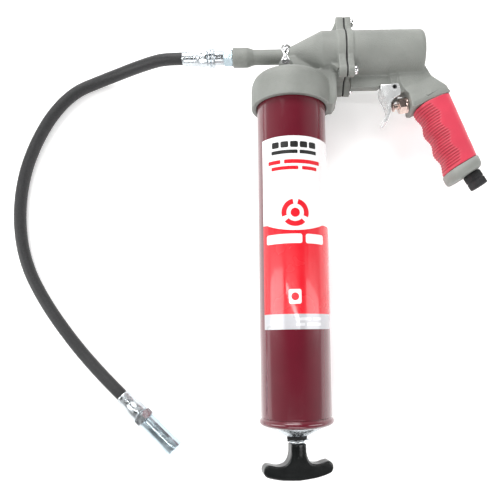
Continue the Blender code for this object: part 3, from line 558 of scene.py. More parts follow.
def crimped_sleeve(profile, dents, at, axis):
    """A sleeve pressed onto the hose in a ring of jaws, which leaves flats round it.

    dents is (from, to, depth) of the flats along the sleeve.
    """
    shape = turned(profile, steps=96, closed=True, bevel=0.00015)
    low, high, depth = dents
    for vertex in shape.verts:
        radius = hypot(vertex.co.x, vertex.co.y)
        if radius < SLEEVE_BORE_R + BORE_MARGIN or not low < vertex.co.z < high:
            continue
        angle = atan2(vertex.co.y, vertex.co.x)
        flat = 1 - depth / radius * (0.5 + 0.5 * cos(CRIMP_JAWS * angle))
        vertex.co.x *= flat
        vertex.co.y *= flat
    return place(shape, at, axis)


def make_gun_ferrule():
    profile = [(0.0060, -0.0693), (0.0066, -0.0697), (0.0069, -0.0712)]
    profile += [(0.0069, -0.0714 - 0.0008 * i) for i in range(1, 6)]
    profile += [(0.0067, -0.0765), (0.0062, -0.0778), (0.0060, -0.0785)]
    profile += [(0.0060, -0.0795 - 0.0010 * i) for i in range(11)]
    profile += [(0.0058, -0.0908), (SLEEVE_BORE_R, -0.0908), (SLEEVE_BORE_R, -0.0693)]
    shape = crimped_sleeve(profile, (-0.0762, -0.0712, 0.0004), (0, 0, 0), PUMP_AXIS)
    return finish(shape, "gun_ferrule", ZINC, ["hose_ferrule"])


def make_adapter():
    low, high = FITTING_END + GAP, -0.0483 - GAP
    shape = nut(0.0127, low, high, 0.0007)
    shape = cut(shape, rod(0.0016, low - 0.001, high + 0.001))
    shank = turned(
        [(0.0020, high - 0.001), (0.0047, high - 0.001), (0.0047, -0.0445), (0.0020, -0.0445)], steps=48,
        closed=True,
    )
    shape = combined(shape, [shank], "UNION")
    place(shape, axis=PUMP_AXIS)
    finish(shape, "hex_adapter", BLUE_ZINC, ["outlet_adapter"])


def make_coupler():
    profile = [(SLEEVE_BORE_R, -FERRULE_LENGTH), (0.0058, -FERRULE_LENGTH), (0.0060, -0.0213)]
    profile += [(0.0060 + 0.00001 * i, -0.0205 + 0.0010 * i) for i in range(9)]
    profile += [(0.0064, -0.0105), (0.0070, -0.0078), (0.0072, -0.0060), (0.0073, -0.0040)]
    profile += [(0.0073, -0.0010), (0.0068, -GAP), (SLEEVE_BORE_R, -GAP)]
    shape = crimped_sleeve(profile, (-0.0208, -0.0110, 0.0002), COUPLER_START, COUPLER_AXIS)
    crimp = finish(shape, "coupler_crimp", ZINC, ["coupler_ferrule"])
    shape = nut(0.0155, 0.0004, 0.0068, 0.0009)
    shank = turned([(0, 0.0060), (0.0052, 0.0060), (0.0052, 0.0120), (0, 0.0120)])
    shape = cut(combined(shape, [shank], "UNION"), rod(0.0018, -0.003, 0.020))
    place(shape, COUPLER_START, COUPLER_AXIS, radians(12))
    hexagonal = finish(shape, "coupler_hex", ZINC, ["coupler_body"])
    return [crimp, hexagonal, make_coupler_sleeve(), *make_jaws()]


def make_coupler_sleeve():
    radius = COUPLER_R
    low, high = 0.0068 + GAP, COUPLER_END
    profile = [
        (radius - 0.0008, low), (radius - 0.0004, low + 0.0005), (radius - 0.0003, high - 0.0090),
        (radius, high - 0.0070), (radius + 0.0002, high - 0.0050), (radius + 0.0002, high - 0.0005),
        (radius - 0.0003, high), (0.0046, high), (0.0042, high - 0.0015), (0.0056, high - 0.0080),
        (0.0056, low),
    ]
    shape = turned(profile, steps=96, closed=True, bevel=0.0002)
    flutes = []
    for number in range(FLUTES):
        around = Matrix.Rotation(2 * pi * (number + 0.25) / FLUTES, 4, "Z")
        ends = arc((0, 0.0073), 0.0012, 0, 180, 10) + arc((0, -0.0073), 0.0012, 180, 360, 10)
        flute = slab(ends, 0.0020)
        stand = Matrix(((1, 0, 0, 0), (0, 0, 1, 0.0081), (0, 1, 0, high - 0.0190), (0, 0, 0, 1)))
        flute.transform(around @ stand)
        face_outwards(flute)
        flutes.append(flute)
    shape = cut(shape, *flutes)
    place(shape, COUPLER_START, COUPLER_AXIS)
    return finish(shape, "coupler_barrel", BLUE_ZINC, ["coupler_sleeve"], smooth=28)


def make_jaws():
    made = []
    for number in range(3):
        middle = 120 * number + 30
        points = arc((0, 0), 0.0039, middle - 52, middle + 52, 14)
        points += arc((0, 0), 0.0019, middle + 46, middle - 46, 10)
        shape = slab(points, 0.0060, (0, 0, COUPLER_END - 0.0076), 0.0003)
        place(shape, COUPLER_START, COUPLER_AXIS)
        name = f"coupler_jaw_{number + 1}"
        made.append(finish(shape, f"gripping_jaw_{number + 1}", STEEL, [name]))
    return made


# ---- barrel and label

BARREL_R = 0.0284
BARREL_TOP = -0.0275
BARREL_END = -0.3055
BEAD_R = 0.0296
CONE_TOP_R = 0.0235
CONE_END = -0.3138
ALONG = (0, 1, 0)
LABEL_TOP = -0.0792
LABEL_LOW = -0.2302
LABEL_LEFT = -radians(57)
LABEL_RIGHT = radians(150)
LABEL_LIFT = 0.00008
LABEL_MIDDLE = 0.0012
RED_TOP = -0.1540
RED_RISE = 0.0055
RED_HALF = 0.0250
GREY_TOP = -0.2185
GREY_MIDDLE = 0.0110
RING_AT = (LABEL_MIDDLE, -0.1402)
RING_SWEEP = 96
BADGE_AT = (LABEL_MIDDLE - 0.0012, -0.2052)
BADGE_HALF = (0.0048, 0.0056)


def make_barrel():
    radius = BARREL_R
    bead = [
        (radius - 0.0003, -0.2996), (radius + 0.0006, -0.3003), (BEAD_R - 0.0001, -0.3013),
        (BEAD_R, -0.3022), (BEAD_R - 0.0001, -0.3031), (radius + 0.0004, -0.3041),
        (radius - 0.0010, -0.3049),
    ]
    inner = radius - 0.0012
    profile = [
        (radius, BARREL_TOP), (radius, -0.2982), (radius - 0.0002, -0.2986), (radius - 0.0007, -0.2990),
        *bead, (radius - 0.0024, BARREL_END), (CONE_TOP_R, BARREL_END), (CONE_TOP_R, BARREL_END + 0.0015),
        (inner, BARREL_END + 0.0030), (inner, BARREL_TOP),
    ]
    shape = turned(profile, axis=ALONG, steps=160, closed=True)
    finish(shape, "grease_barrel", MAROON, ["barrel"], smooth=50)


def patch(points, level):
    """A thin film on the barrel. points are (distance round from its top, along)."""
    shape = bmesh.new()
    shape.faces.new([shape.verts.new((x, y, 0)) for x, y in points])
    low = min(x for x, _ in points)
    high = max(x for x, _ in points)
    step = BARREL_R * radians(2)
    count = int((high - low) / step)
    for i in range(1, count + 1):
        bmesh.ops.bisect_plane(
            shape, geom=shape.verts[:] + shape.edges[:] + shape.faces[:],
            plane_co=(low + i * (high - low) / (count + 1), 0, 0), plane_no=(1, 0, 0),
        )
    bmesh.ops.triangulate(shape, faces=[f for f in shape.faces if len(f.verts) > 4])
    top = bmesh.ops.extrude_face_region(shape, geom=shape.faces[:])["geom"]
    raised = {v for v in top if isinstance(v, bmesh.types.BMVert)}
    for vertex in shape.verts:
        around = vertex.co.x / BARREL_R
        radius = BARREL_R + LABEL_LIFT * (level if vertex in raised else 0.2)
        vertex.co = (radius * sin(around), vertex.co.y, radius * cos(around))
    face_outwards(shape)
    return shape


def bar(left, right, low, high, corner=0.0):
    """Outline of a rectangle with rounded corners, in metres round and along."""
    if not corner:
        return [(left, low), (right, low), (right, high), (left, high)]
    points = arc((right - corner, high - corner), corner, 0, 90, 4)
    points += arc((left + corner, high - corner), corner, 90, 180, 4)
    points += arc((left + corner, low + corner), corner, 180, 270, 4)
    points += arc((right - corner, low + corner), corner, 270, 360, 4)
    return points


def row_of_blocks(widths, middle, low, high, space):
    """A row of plain blocks, about middle, in the place of a line of print."""
    total = sum(widths) + space * (len(widths) - 1)
    left = middle - total / 2
    made = []
    for width in widths:
        made.append(bar(left, left + width, low, high, (high - low) * 0.22))
        left += width + space
    return made


def make_label():
    """A plain wrap-round label: blocks and a ring of colour stand where print would be.

    A film is an outline and its level, in layers of LABEL_LIFT.
    """
    left, right = LABEL_LEFT * BARREL_R, LABEL_RIGHT * BARREL_R
    band = [(left, GREY_TOP), (right, GREY_TOP)]
    for i in range(41):
        along = right + (left - right) * i / 40
        from_middle = min(1.0, abs(along - LABEL_MIDDLE) / RED_HALF)
        band.append((along, RED_TOP + RED_RISE * from_middle**2))
    white, red, black, grey, pale = range(5)
    films = {
        white: [(bar(left, right, LABEL_LOW, LABEL_TOP), 1)], red: [(band, 1.6)], black: [],
        grey: [(bar(left, right, LABEL_LOW, GREY_TOP), 1.6)], pale: [],
    }
    for colour, level, at, low, high, widths, space in (
        (black, 2, LABEL_MIDDLE, -0.0885, -0.0836, (0.0062,) * 5, 0.0014),
        (black, 2, LABEL_MIDDLE, -0.0934, -0.0905, (0.0215, 0.0145), 0.0016),
        (red, 2, LABEL_MIDDLE, -0.1013, -0.0982, (0.0110, 0.0300), 0.0030),
        (red, 2, LABEL_MIDDLE, -0.1062, -0.1034, (0.0220, 0.0130), 0.0030),
        (white, 2.4, LABEL_MIDDLE, -0.1642, -0.1568, (0.0300, 0.0170), 0.0028),
        (pale, 2.4, GREY_MIDDLE, -0.2235, -0.2212, (0.0120, 0.0080), 0.0015),
        (pale, 2.4, GREY_MIDDLE, -0.2276, -0.2253, (0.0070, 0.0130), 0.0015),
    ):
        films[colour] += [(p, level) for p in row_of_blocks(widths, at, low, high, space)]
    films[red] += [(sector(RING_AT, 0.0068, 0.0108, start), 2) for start in (100, 220, 340)]
    films[red].append((arc(RING_AT, 0.0036, 0, 345, 23), 2))
    x, y = BADGE_AT
    across, along = BADGE_HALF
    films[white].append((bar(x - across, x + across, y - along, y + along, 0.0014), 2.4))
    films[red].append((arc(BADGE_AT, 0.0030, 0, 340, 17), 3))
    shapes = []
    for index, made in films.items():
        for points, level in made:
            shape = patch(points, level)
            for face in shape.faces:
                face.material_index = index
            shapes.append(shape)
    whole = merged(shapes)
    looks = [LABEL_WHITE, LABEL_RED, LABEL_BLACK, LABEL_GREY, LABEL_PALE]
    finish(whole, "barrel_label", looks, smooth=40)


def sector(middle, inner, outer, start):
    end = start + RING_SWEEP
    return arc(middle, outer, start, end, 10) + arc(middle, inner, end, start, 8)


def make_barrel_end():
    lip = CONE_TOP_R - GAP
    profile = [
        (lip, BARREL_END + 0.0012), (lip, BARREL_END - 0.0003), (lip - 0.0006, BARREL_END - 0.0010),
        (0.0100, CONE_END + 0.0006), (0.0092, CONE_END + 0.0001), (0.0086, CONE_END), (0.0052, CONE_END),
        (0.0052, CONE_END + 0.0012), (0.0090, CONE_END + 0.0012), (lip - 0.0018, BARREL_END + 0.0012),
    ]
    shape = turned(profile, axis=ALONG, steps=120, closed=True)
    finish(shape, "pressed_cone", ZINC, ["barrel_end_cone"])


def make_gland():
    top = CONE_END - GAP
    profile = [(0.0044, top), (0.0076, top)]
    for i in range(3):
        mid = top - 0.0004 - 0.0007 * i
        profile += [(0.0080, mid + 0.00015), (0.0080, mid - 0.00015), (0.0074, mid - 0.00035)]
    profile += [(0.0077, top - 0.0023), (0.0075, top - 0.0024), (0.0044, top - 0.0024)]
    shape = turned(profile, axis=ALONG, closed=True)
    finish(shape, "ribbed_gland", SEAL_RUBBER, ["rod_gland"])


# ---- rod and handle

ROD_R = 0.0040
COLLAR_TOP = -0.3182
HANDLE_TURN = radians(14)


def make_collar():
    profile = [
        (ROD_R + GAP, COLLAR_TOP - 0.0010), (0.0057, COLLAR_TOP - 0.0010), (0.0057, COLLAR_TOP),
        (ROD_R + GAP, COLLAR_TOP),
    ]
    shape = turned(profile, axis=ALONG, closed=True, bevel=0.0002)
    finish(shape, "rod_washer", ZINC, ["handle_collar"], body="rod_and_follower")


def make_t_handle():
    half = [
        (0.0061, -0.3197), (0.0062, -0.3240), (0.0064, -0.3275), (0.0078, -0.3320), (0.0107, -0.3352),
        (0.0165, -0.3362), (0.0220, -0.3348), (0.0253, -0.3345), (0.0277, -0.3366), (0.0283, -0.3397),
        (0.0272, -0.3425), (0.0243, -0.3444), (0.0140, -0.3469), (0.0000, -0.3481),
    ]
    side = curve_through(half, 4)
    outline = side + [(-x, y) for x, y in side[-2::-1]]
    body = slab(outline, 0.0058, bevel=0.0044, segments=4, angle=60)
    body.transform(Matrix.Rotation(HANDLE_TURN, 4, "Y"))
    stem = turned(
        [(0, -0.3197), (0.0058, -0.3197), (0.0062, -0.3204), (0.0062, -0.3300), (0, -0.3380)], axis=ALONG,
    )
    shape = cast([body, stem], 0.0005, 10)
    shape = cut(shape, rod(ROD_R + GAP, -0.3344, -0.3180, axis=ALONG))
    finish(shape, "pull_handle", BLACK_PLASTIC, ["t_handle"], body="rod_and_follower")


# ---- pump head

CUP_R = 0.0330
CUP_TOP = -0.0195
CUP_BOTTOM = -0.0466
CUP_FLOOR = -0.0260
NECK_R = 0.00615
BOSS_R = 0.0080
NECK_END = -0.0483
SHELL_R = 0.0197
FRONT_FLANGE = (0.0388, 0.0450)
REAR_FLANGE = (0.0462, 0.0514)
FLANGE_R = 0.0206
LUG_CIRCLE_R = 0.0288
LUG_ANGLES = {"top": 90, "near": -50, "far": -130}
MOTOR_BORE_R = 0.0165
LOADER_AT = (-0.0040, 0.0205)


def lug_place(which):
    angle = radians(LUG_ANGLES[which])
    return LUG_CIRCLE_R * sin(angle), LUG_CIRCLE_R * cos(angle)


def lug_frame(which, along):
    """Stands an outline on the pump's axis at a lug, with its +Y outwards."""
    y, z = lug_place(which)
    out = Vector((0, y, z)).normalized()
    return Matrix(((0, 0, 1, along), (out.z, out.y, 0, y), (-out.y, out.z, 0, z), (0, 0, 0, 1)))


def lugs(start, end):
    made = []
    for which in LUG_ANGLES:
        points = arc((0, 0), 0.0051, 0, 180, 16) + [(-0.0060, -0.0060), (-0.0105, -0.0118)]
        points += [(0.0105, -0.0118), (0.0060, -0.0060)]
        shape = slab(points, (end - start) / 2)
        shape.transform(lug_frame(which, (start + end) / 2))
        face_outwards(shape)
        made.append(shape)
    return made


def lug_holes(start, end):
    made = []
    for which in LUG_ANGLES:
        y, z = lug_place(which)
        made.append(rod(0.0022, start - 0.001, end + 0.001, (0, y, z), PUMP_AXIS, 24))
    return made


def gusset(which):
    """The web that runs from a front ear down to the pump's shell."""
    y, z = lug_place(which)
    points = [(0.0300, 0.0165), (0.0400, 0.0165), (0.0400, 0.0305), (0.0388, 0.0305)]
    points += [(0.0372, 0.0262), (0.0352, 0.0222), (0.0320, 0.0190)]
    shape = slab(points, 0.0022)
    out = Vector((0, y, z)).normalized()
    shape.transform(Matrix(((1, 0, 0, 0), (0, out.y, -out.z, 0), (0, out.z, out.y, 0), (0, 0, 0, 1))))
    face_outwards(shape)
    return shape


def make_pump_head():
    cup_profile = [
        (0, CUP_TOP), (0.0225, CUP_TOP), (0.0262, CUP_TOP - 0.0007), (0.0290, CUP_TOP - 0.0022),
        (0.0311, CUP_TOP - 0.0045), (0.0325, CUP_TOP - 0.0078), (CUP_R, CUP_TOP - 0.0118),
        (CUP_R, CUP_BOTTOM), (0, CUP_BOTTOM),
    ]
    cup = turned(cup_profile, axis=ALONG, steps=96)
    body_profile = [
        (0, FRONT_FLANGE[1]), (FLANGE_R, FRONT_FLANGE[1]), (FLANGE_R, FRONT_FLANGE[0]),
        (SHELL_R, FRONT_FLANGE[0]), (SHELL_R, 0.0262), (0.0074, -0.0008), (NECK_R, -0.0045),
        (NECK_R, -0.0305), (BOSS_R - 0.0004, -0.0350), (BOSS_R, -0.0362), (BOSS_R, NECK_END),
        (0, NECK_END),
    ]
    body = turned(body_profile, axis=PUMP_AXIS, steps=96)
    web = slab(
        [(-0.0068, -0.0040), (-0.0050, -0.0110), (-0.0010, -0.0215), (0.0340, -0.0215), (0.0300, -0.0040)],
        0.0090,
    )
    block_outline = [
        (0.0200, -0.0165), (0.0376, -0.0150), (0.0376, -0.0420), (0.0344, -0.0466), (0.0290, -0.0466),
        (0.0200, -0.0420),
    ]
    block = slab(block_outline, 0.0110)
    shape = cast([cup, body, web, block, gusset("top"), gusset("near"), *lugs(*FRONT_FLANGE)])
    chamber_profile = [
        (0, 0.0460), (MOTOR_BORE_R, 0.0460), (MOTOR_BORE_R, 0.0300), (0.0062, 0.0270), (0.0062, 0.0210),
        (0.0032, 0.0210), (0.0032, -0.0370), (0.0018, -0.0370), (0.0018, -0.0390), (0.0050, -0.0390),
        (0.0050, NECK_END - 0.001), (0, NECK_END - 0.001),
    ]
    chamber = turned(chamber_profile, axis=PUMP_AXIS)
    mouth_profile = [
        (0, CUP_BOTTOM - 0.002), (BARREL_R + 0.0022, CUP_BOTTOM - 0.002),
        (BARREL_R + 0.0007, CUP_BOTTOM + 0.0010), (BARREL_R + GAP, CUP_BOTTOM + 0.0016),
        (BARREL_R + GAP, CUP_FLOOR), (0, CUP_FLOOR),
    ]
    mouth = turned(mouth_profile, axis=ALONG, steps=120)
    port = rod(0.0024, CUP_FLOOR - 0.001, 0.0, axis=ALONG)
    socket = rod(0.0027, CUP_FLOOR - 0.001, 0, (LOADER_AT[0], 0, LOADER_AT[1]), ALONG)
    shape = cut(shape, chamber, mouth, port, socket, *lug_holes(*FRONT_FLANGE))
    finish(shape, "head_casting", CAST, ["pump_head"])


def make_nipple():
    at = (LOADER_AT[0], CUP_TOP + GAP, LOADER_AT[1])
    profile = [
        (0, -0.0040), (0.0024, -0.0040), (0.0024, 0.0020), (0.0044, 0.0036), (0.0041, 0.0050),
        (0.0033, 0.0066), (0.0025, 0.0080), (0.0021, 0.0090), (0.0021, 0.0100), (0.0025, 0.0110),
        (0.0032, 0.0120), (0.0035, 0.0130), (0.0034, 0.0141), (0.0028, 0.0151), (0.0027, 0.0156),
        (0.0036, 0.0159), (0.0039, 0.0162), (0.0039, 0.0168), (0.0036, 0.0171), (0.0016, 0.0171),
        (0.0010, 0.0166), (0, 0.0166),
    ]
    shape = combined(nut(0.0098, 0, 0.0038), [turned(profile, steps=48)], "UNION")
    place(shape, at, ALONG)
    finish(shape, "filler_nipple", CHROME, ["loader_nipple"])


def make_gasket():
    """The dark seal that shows as a line between the two castings."""
    start, end = FRONT_FLANGE[1] + GAP, REAR_FLANGE[0] - GAP
    round_part = turned(
        [(MOTOR_BORE_R, start), (FLANGE_R - 0.0003, start), (FLANGE_R - 0.0003, end), (MOTOR_BORE_R, end)],
        axis=PUMP_AXIS, steps=96, closed=True,
    )
    ears = lugs(start, end)
    for ear, which in zip(ears, LUG_ANGLES):
        y, z = lug_place(which)
        slimmer = Matrix.Translation((0, y, z)) @ Matrix.Diagonal((1, 0.94, 0.94, 1))
        ear.transform(slimmer @ Matrix.Translation((0, -y, -z)))
    shape = combined(round_part, ears, "UNION")
    bore = rod(MOTOR_BORE_R, start - 0.001, end + 0.001, axis=PUMP_AXIS, steps=96)
    shape = cut(shape, bore, *lug_holes(start, end))
    finish(shape, "flange_seal", SEAL_RUBBER, ["flange_gasket"])


def make_screws():
    head = REAR_FLANGE[1] + GAP
    for which in LUG_ANGLES:
        y, z = lug_place(which)
        profile = [
            (0, FRONT_FLANGE[0] + 0.0006), (0.0019, FRONT_FLANGE[0] + 0.0006), (0.0019, head),
            (0.0035, head), (0.0036, head + 0.0004), (0.0036, head + 0.0013), (0.0033, head + 0.0020),
            (0.0027, head + 0.0025), (0.0018, head + 0.0026), (0, head + 0.0026),
        ]
        shape = turned(profile, steps=48)
        socket = slab(hexagon(0.0026), 0.0010, (0, 0, head + 0.0026))
        shape = place(cut(shape, socket), (0, y, z), PUMP_AXIS)
        node = "flange_screw_" + which
        finish(shape, f"cap_screw_{which}", CHROME, [node])


# ---- air motor and grip

MOTOR_REAR = 0.1110
MOTOR_BORE_END = 0.1054
GRIP_CORNER = Vector((0.1030, -0.0501))
GRIP_SLOPE = radians(23.5)
GRIP_ACROSS = Vector((cos(GRIP_SLOPE), sin(GRIP_SLOPE)))
GRIP_DOWN = Vector((sin(GRIP_SLOPE), -cos(GRIP_SLOPE)))
GRIP_DEPTH = 0.0312
GRIP_TAPER = 0.0026
GRIP_HALF_WIDTH = 0.0145
GRIP_LENGTH = 0.0594
GRIP_END_SLOPE = 0.117
GROOVE_STEP = 0.0184
FIRST_GROOVE = 0.0123
GROOVE_DEPTH = 0.0011
FRONT_INSET = 0.0006
GRIP_EDGE_R = 0.0008
GRIP_ROWS = 210
RIB_STEP = 0.0023
RIB_DEPTH = 0.0006
RIBS_END = 0.0118
RIBS_SWING = 0.0016
CAP_THICK = 0.0096
CORE_FRONT = 0.0060
CORE_BACK = 0.0255
CORE_HALF_WIDTH = 0.0085
HANDLE_HALF_WIDTH = 0.0125
WAIST_HALF_WIDTH = 0.0065
INLET_R = 0.00745
INLET_LENGTH = 0.0132
RIDGES = 40
KNURL_DEPTH = 0.00028
FRAME_RIB_HALF = 0.0036
TONGUE_HALF = 0.0050
VALVE_CHAMBER_R = 0.0046
AIR_PASSAGE_R = 0.0036
AIR_FEED_R = 0.0022
PIVOT = Vector((0.0858, -0.0312))
PIN_R = 0.0016
VALVE_SLOPE = radians(8)
VALVE_FACE = (0.0976, -0.0440, 0)
VALVE_OUT = (-cos(VALVE_SLOPE), -sin(VALVE_SLOPE), 0)


def on_grip(across, down):
    return tuple(GRIP_CORNER + GRIP_ACROSS * across + GRIP_DOWN * down)


def grip_bottom(across, extra=0.0):
    return GRIP_LENGTH + extra - GRIP_END_SLOPE * across


def in_plane(direction):
    return (direction[0], direction[1], 0)


INLET_DOWN = (GRIP_DOWN + GRIP_ACROSS * GRIP_END_SLOPE).normalized()
INLET_TOP = (*on_grip(0.0198, grip_bottom(0.0198, CAP_THICK)), 0)


def engraving():
    """Cutters of the shallow L-shaped line on each cheek of the handle."""
    made = []
    corners = [Vector((0.1086, -0.0399)), Vector((0.1114, -0.0417)), Vector((0.1255, -0.0337))]
    for side in (-1, 1):
        for a, b in zip(corners, corners[1:]):
            along = (b - a).normalized()
            off = Vector((-along.y, along.x)) * 0.00035
            a2, b2 = a - along * 0.0003, b + along * 0.0003
            points = [tuple(a2 - off), tuple(b2 - off), tuple(b2 + off), tuple(a2 + off)]
            made.append(slab(points, 0.0005, (0, 0, side * HANDLE_HALF_WIDTH)))
    return made


def make_motor():
    shell_profile = [
        (0, MOTOR_REAR), (SHELL_R - 0.0036, MOTOR_REAR), (SHELL_R - 0.0018, MOTOR_REAR - 0.0004),
        (SHELL_R - 0.0006, MOTOR_REAR - 0.0015), (SHELL_R, MOTOR_REAR - 0.0034), (SHELL_R, REAR_FLANGE[1]),
        (FLANGE_R, REAR_FLANGE[1]), (FLANGE_R, REAR_FLANGE[0]), (0, REAR_FLANGE[0]),
    ]
    shell = turned(shell_profile, axis=PUMP_AXIS, steps=96)
    frame_points = [
        (0.0888, -0.0130), (0.0900, -0.0241), (0.0926, -0.0312), (0.0968, -0.0372), (0.0984, -0.0500),
        (0.1020, -0.0505), on_grip(0.0002, -GAP), on_grip(0.0305, -GAP), (0.1288, -0.0364),
        (0.1270, -0.0322), (0.1222, -0.0274), (0.1165, -0.0208), (0.1120, -0.0125), (0.1085, -0.0080),
    ]
    half = [(WAIST_HALF_WIDTH, -0.060), (WAIST_HALF_WIDTH, -0.0200), (0.0105, -0.0110)]
    half += [(HANDLE_HALF_WIDTH, -0.0045), (HANDLE_HALF_WIDTH, 0.010)]
    waist = slab(half + [(-x, y) for x, y in half[::-1]], 0.030)
    stand = Matrix(
        (
            (0, GRIP_DOWN.x, -GRIP_ACROSS.x, GRIP_CORNER.x),
            (0, GRIP_DOWN.y, -GRIP_ACROSS.y, GRIP_CORNER.y), (1, 0, 0, 0), (0, 0, 0, 1),
        )
    )
    waist.transform(stand)
    face_outwards(waist)
    handle = combined(slab(frame_points, HANDLE_HALF_WIDTH), [waist], "INTERSECT")
    round_edges(handle, 0.0022, 3, 40)
    tongue_points = arc(PIVOT, 0.0040, 130, 290, 16)
    tongue_points += [(0.0925, -0.0350), (0.0960, -0.0350), (0.0960, -0.0150), (0.0820, -0.0150)]
    tongue = slab(tongue_points, TONGUE_HALF)
    rib = slab([(0.0500, -0.0100), (0.0500, -0.0298), (0.0735, -0.0298), (0.0735, -0.0100)], FRAME_RIB_HALF)
    web = slab([(0.0700, -0.0100), (0.0700, -0.0282), (0.0840, -0.0282), (0.0840, -0.0100)], FRAME_RIB_HALF)
    core_outline = [
        on_grip(CORE_FRONT, -0.006), on_grip(CORE_BACK, -0.006),
        on_grip(CORE_BACK, grip_bottom(CORE_BACK)), on_grip(CORE_FRONT, grip_bottom(CORE_FRONT)),
    ]
    core = slab(core_outline, CORE_HALF_WIDTH, bevel=0.0030, segments=3, angle=60)
    shape = cast([shell, handle, tongue, rib, web, core, *lugs(*REAR_FLANGE)])
    bore = rod(MOTOR_BORE_R, REAR_FLANGE[0] - 0.001, MOTOR_BORE_END, axis=PUMP_AXIS, steps=96)
    pin_hole = rod(PIN_R + GAP, -0.010, 0.010, (*PIVOT, 0))
    chamber = rod(VALVE_CHAMBER_R, -0.0185, 0.006, VALVE_FACE, VALVE_OUT)
    passage_top = (*on_grip(0.0158, 0), 0)
    passage = rod(AIR_PASSAGE_R, -0.0050, GRIP_LENGTH + 0.004, passage_top, in_plane(GRIP_DOWN))
    feed = rod(AIR_FEED_R, -0.004, 0.036, (0.1040, -0.0100, 0), (0.08, -1.0, 0))
    shape = cut(shape, bore, pin_hole, chamber, passage, feed, *engraving(), *lug_holes(*REAR_FLANGE))
    finish(shape, "motor_casting", CAST, ["motor_housing"])


def groove_wave(down):
    """1 between two finger grooves and -1 in one, at this depth down the grip."""
    return cos(2 * pi * (down - FIRST_GROOVE) / GROOVE_STEP)


def rounded_section(low, high, half_width, power, count):
    """Points (across, z) round a section: power 2 is an ellipse, and more is squarer."""
    middle, reach = (low + high) / 2, (high - low) / 2
    made = []
    for i in range(count):
        angle = 2 * pi * i / count
        c, s = cos(angle), sin(angle)
        a = copysign(abs(c) ** (2 / power), c)
        b = copysign(abs(s) ** (2 / power), s)
        made.append((middle + reach * a, half_width * b))
    return made


def loft(rings):
    shape = bmesh.new()
    loops = [[shape.verts.new(p) for p in points] for points in rings]
    for low, high in zip(loops, loops[1:]):
        skin(shape, low, high)
    shape.faces.new(loops[0])
    shape.faces.new(loops[-1])
    face_outwards(shape)
    return shape


def smooth_step(value, low, high):
    share = min(1.0, max(0.0, (value - low) / (high - low)))
    return share * share * (3 - 2 * share)


def make_grip():
    """The ribbed sleeve: three finger grooves in front, and ribs round its front half."""
    rings, shade_marks = [], []
    for row in range(GRIP_ROWS + 1):
        share = row / GRIP_ROWS
        down = GRIP_LENGTH * share
        end = min(down, GRIP_LENGTH - down)
        from_edge = max(0.0, 1 - end / GRIP_EDGE_R)
        edge = GRIP_EDGE_R * (1 - sqrt(max(0.0, 1 - from_edge**2)))
        front = FRONT_INSET + GROOVE_DEPTH * groove_wave(down)
        back = GRIP_DEPTH - GRIP_TAPER * share
        section = rounded_section(front, back, GRIP_HALF_WIDTH, 2.6, 120)
        wave = 0.5 - 0.5 * cos(2 * pi * down / RIB_STEP)
        middle = (front + back) / 2
        boundary = RIBS_END + RIBS_SWING * groove_wave(down)
        points = []
        for across, z in section:
            inside = 1 - smooth_step(across, boundary - 0.0012, boundary + 0.0006)
            inside *= smooth_step(end, 0.0012, 0.0026)
            sunk = RIB_DEPTH * wave**1.5 * inside + edge
            reach = Vector((across - middle, z))
            reach -= reach.normalized() * sunk
            across = middle + reach.x
            points.append((*on_grip(across, grip_bottom(across) * share), reach.y))
            # Painted shade: strongest in the rib valleys and a little across the whole ribbed front, kept
            # in the point attribute low.
            shade_marks.append(inside * (0.15 + 0.65 * wave))
        rings.append(points)
    shape = loft(rings)
    shade_layer = shape.verts.layers.float.new("low")
    shape.verts.ensure_lookup_table()
    for vertex, shade_mark in zip(shape.verts, shade_marks):
        vertex[shade_layer] = shade_mark
    inside = [
        on_grip(CORE_FRONT - GAP, -0.004), on_grip(CORE_BACK + GAP, -0.004),
        on_grip(CORE_BACK + GAP, GRIP_LENGTH + 0.004), on_grip(CORE_FRONT - GAP, GRIP_LENGTH + 0.004),
    ]
    shape = cut(shape, slab(inside, CORE_HALF_WIDTH + GAP))
    finish(shape, "grip_sleeve", RED_RUBBER, ["rubber_grip"], smooth=60)


def make_end_cap():
    rings = []
    steps = (
        (0.0005, 0.0), (0.0, 0.06), (0.0, 0.50), (0.0002, 0.68), (0.0006, 0.82), (0.0012, 0.92),
        (0.0022, 0.98), (0.0034, 1.0),
    )
    for inset, share in steps:
        low, high = -0.0012 + inset, GRIP_DEPTH - GRIP_TAPER + 0.0004 - inset
        section = rounded_section(low, high, GRIP_HALF_WIDTH + 0.0004 - inset, 3.0, 96)
        depth = GAP + (CAP_THICK - GAP) * share
        rings.append([(*on_grip(a, grip_bottom(a, depth)), z) for a, z in section])
    shape = cut(loft(rings), rod(0.0056, -0.014, 0.004, INLET_TOP, in_plane(INLET_DOWN)))
    finish(shape, "handle_end", CAST, ["grip_end_cap"], smooth=50)


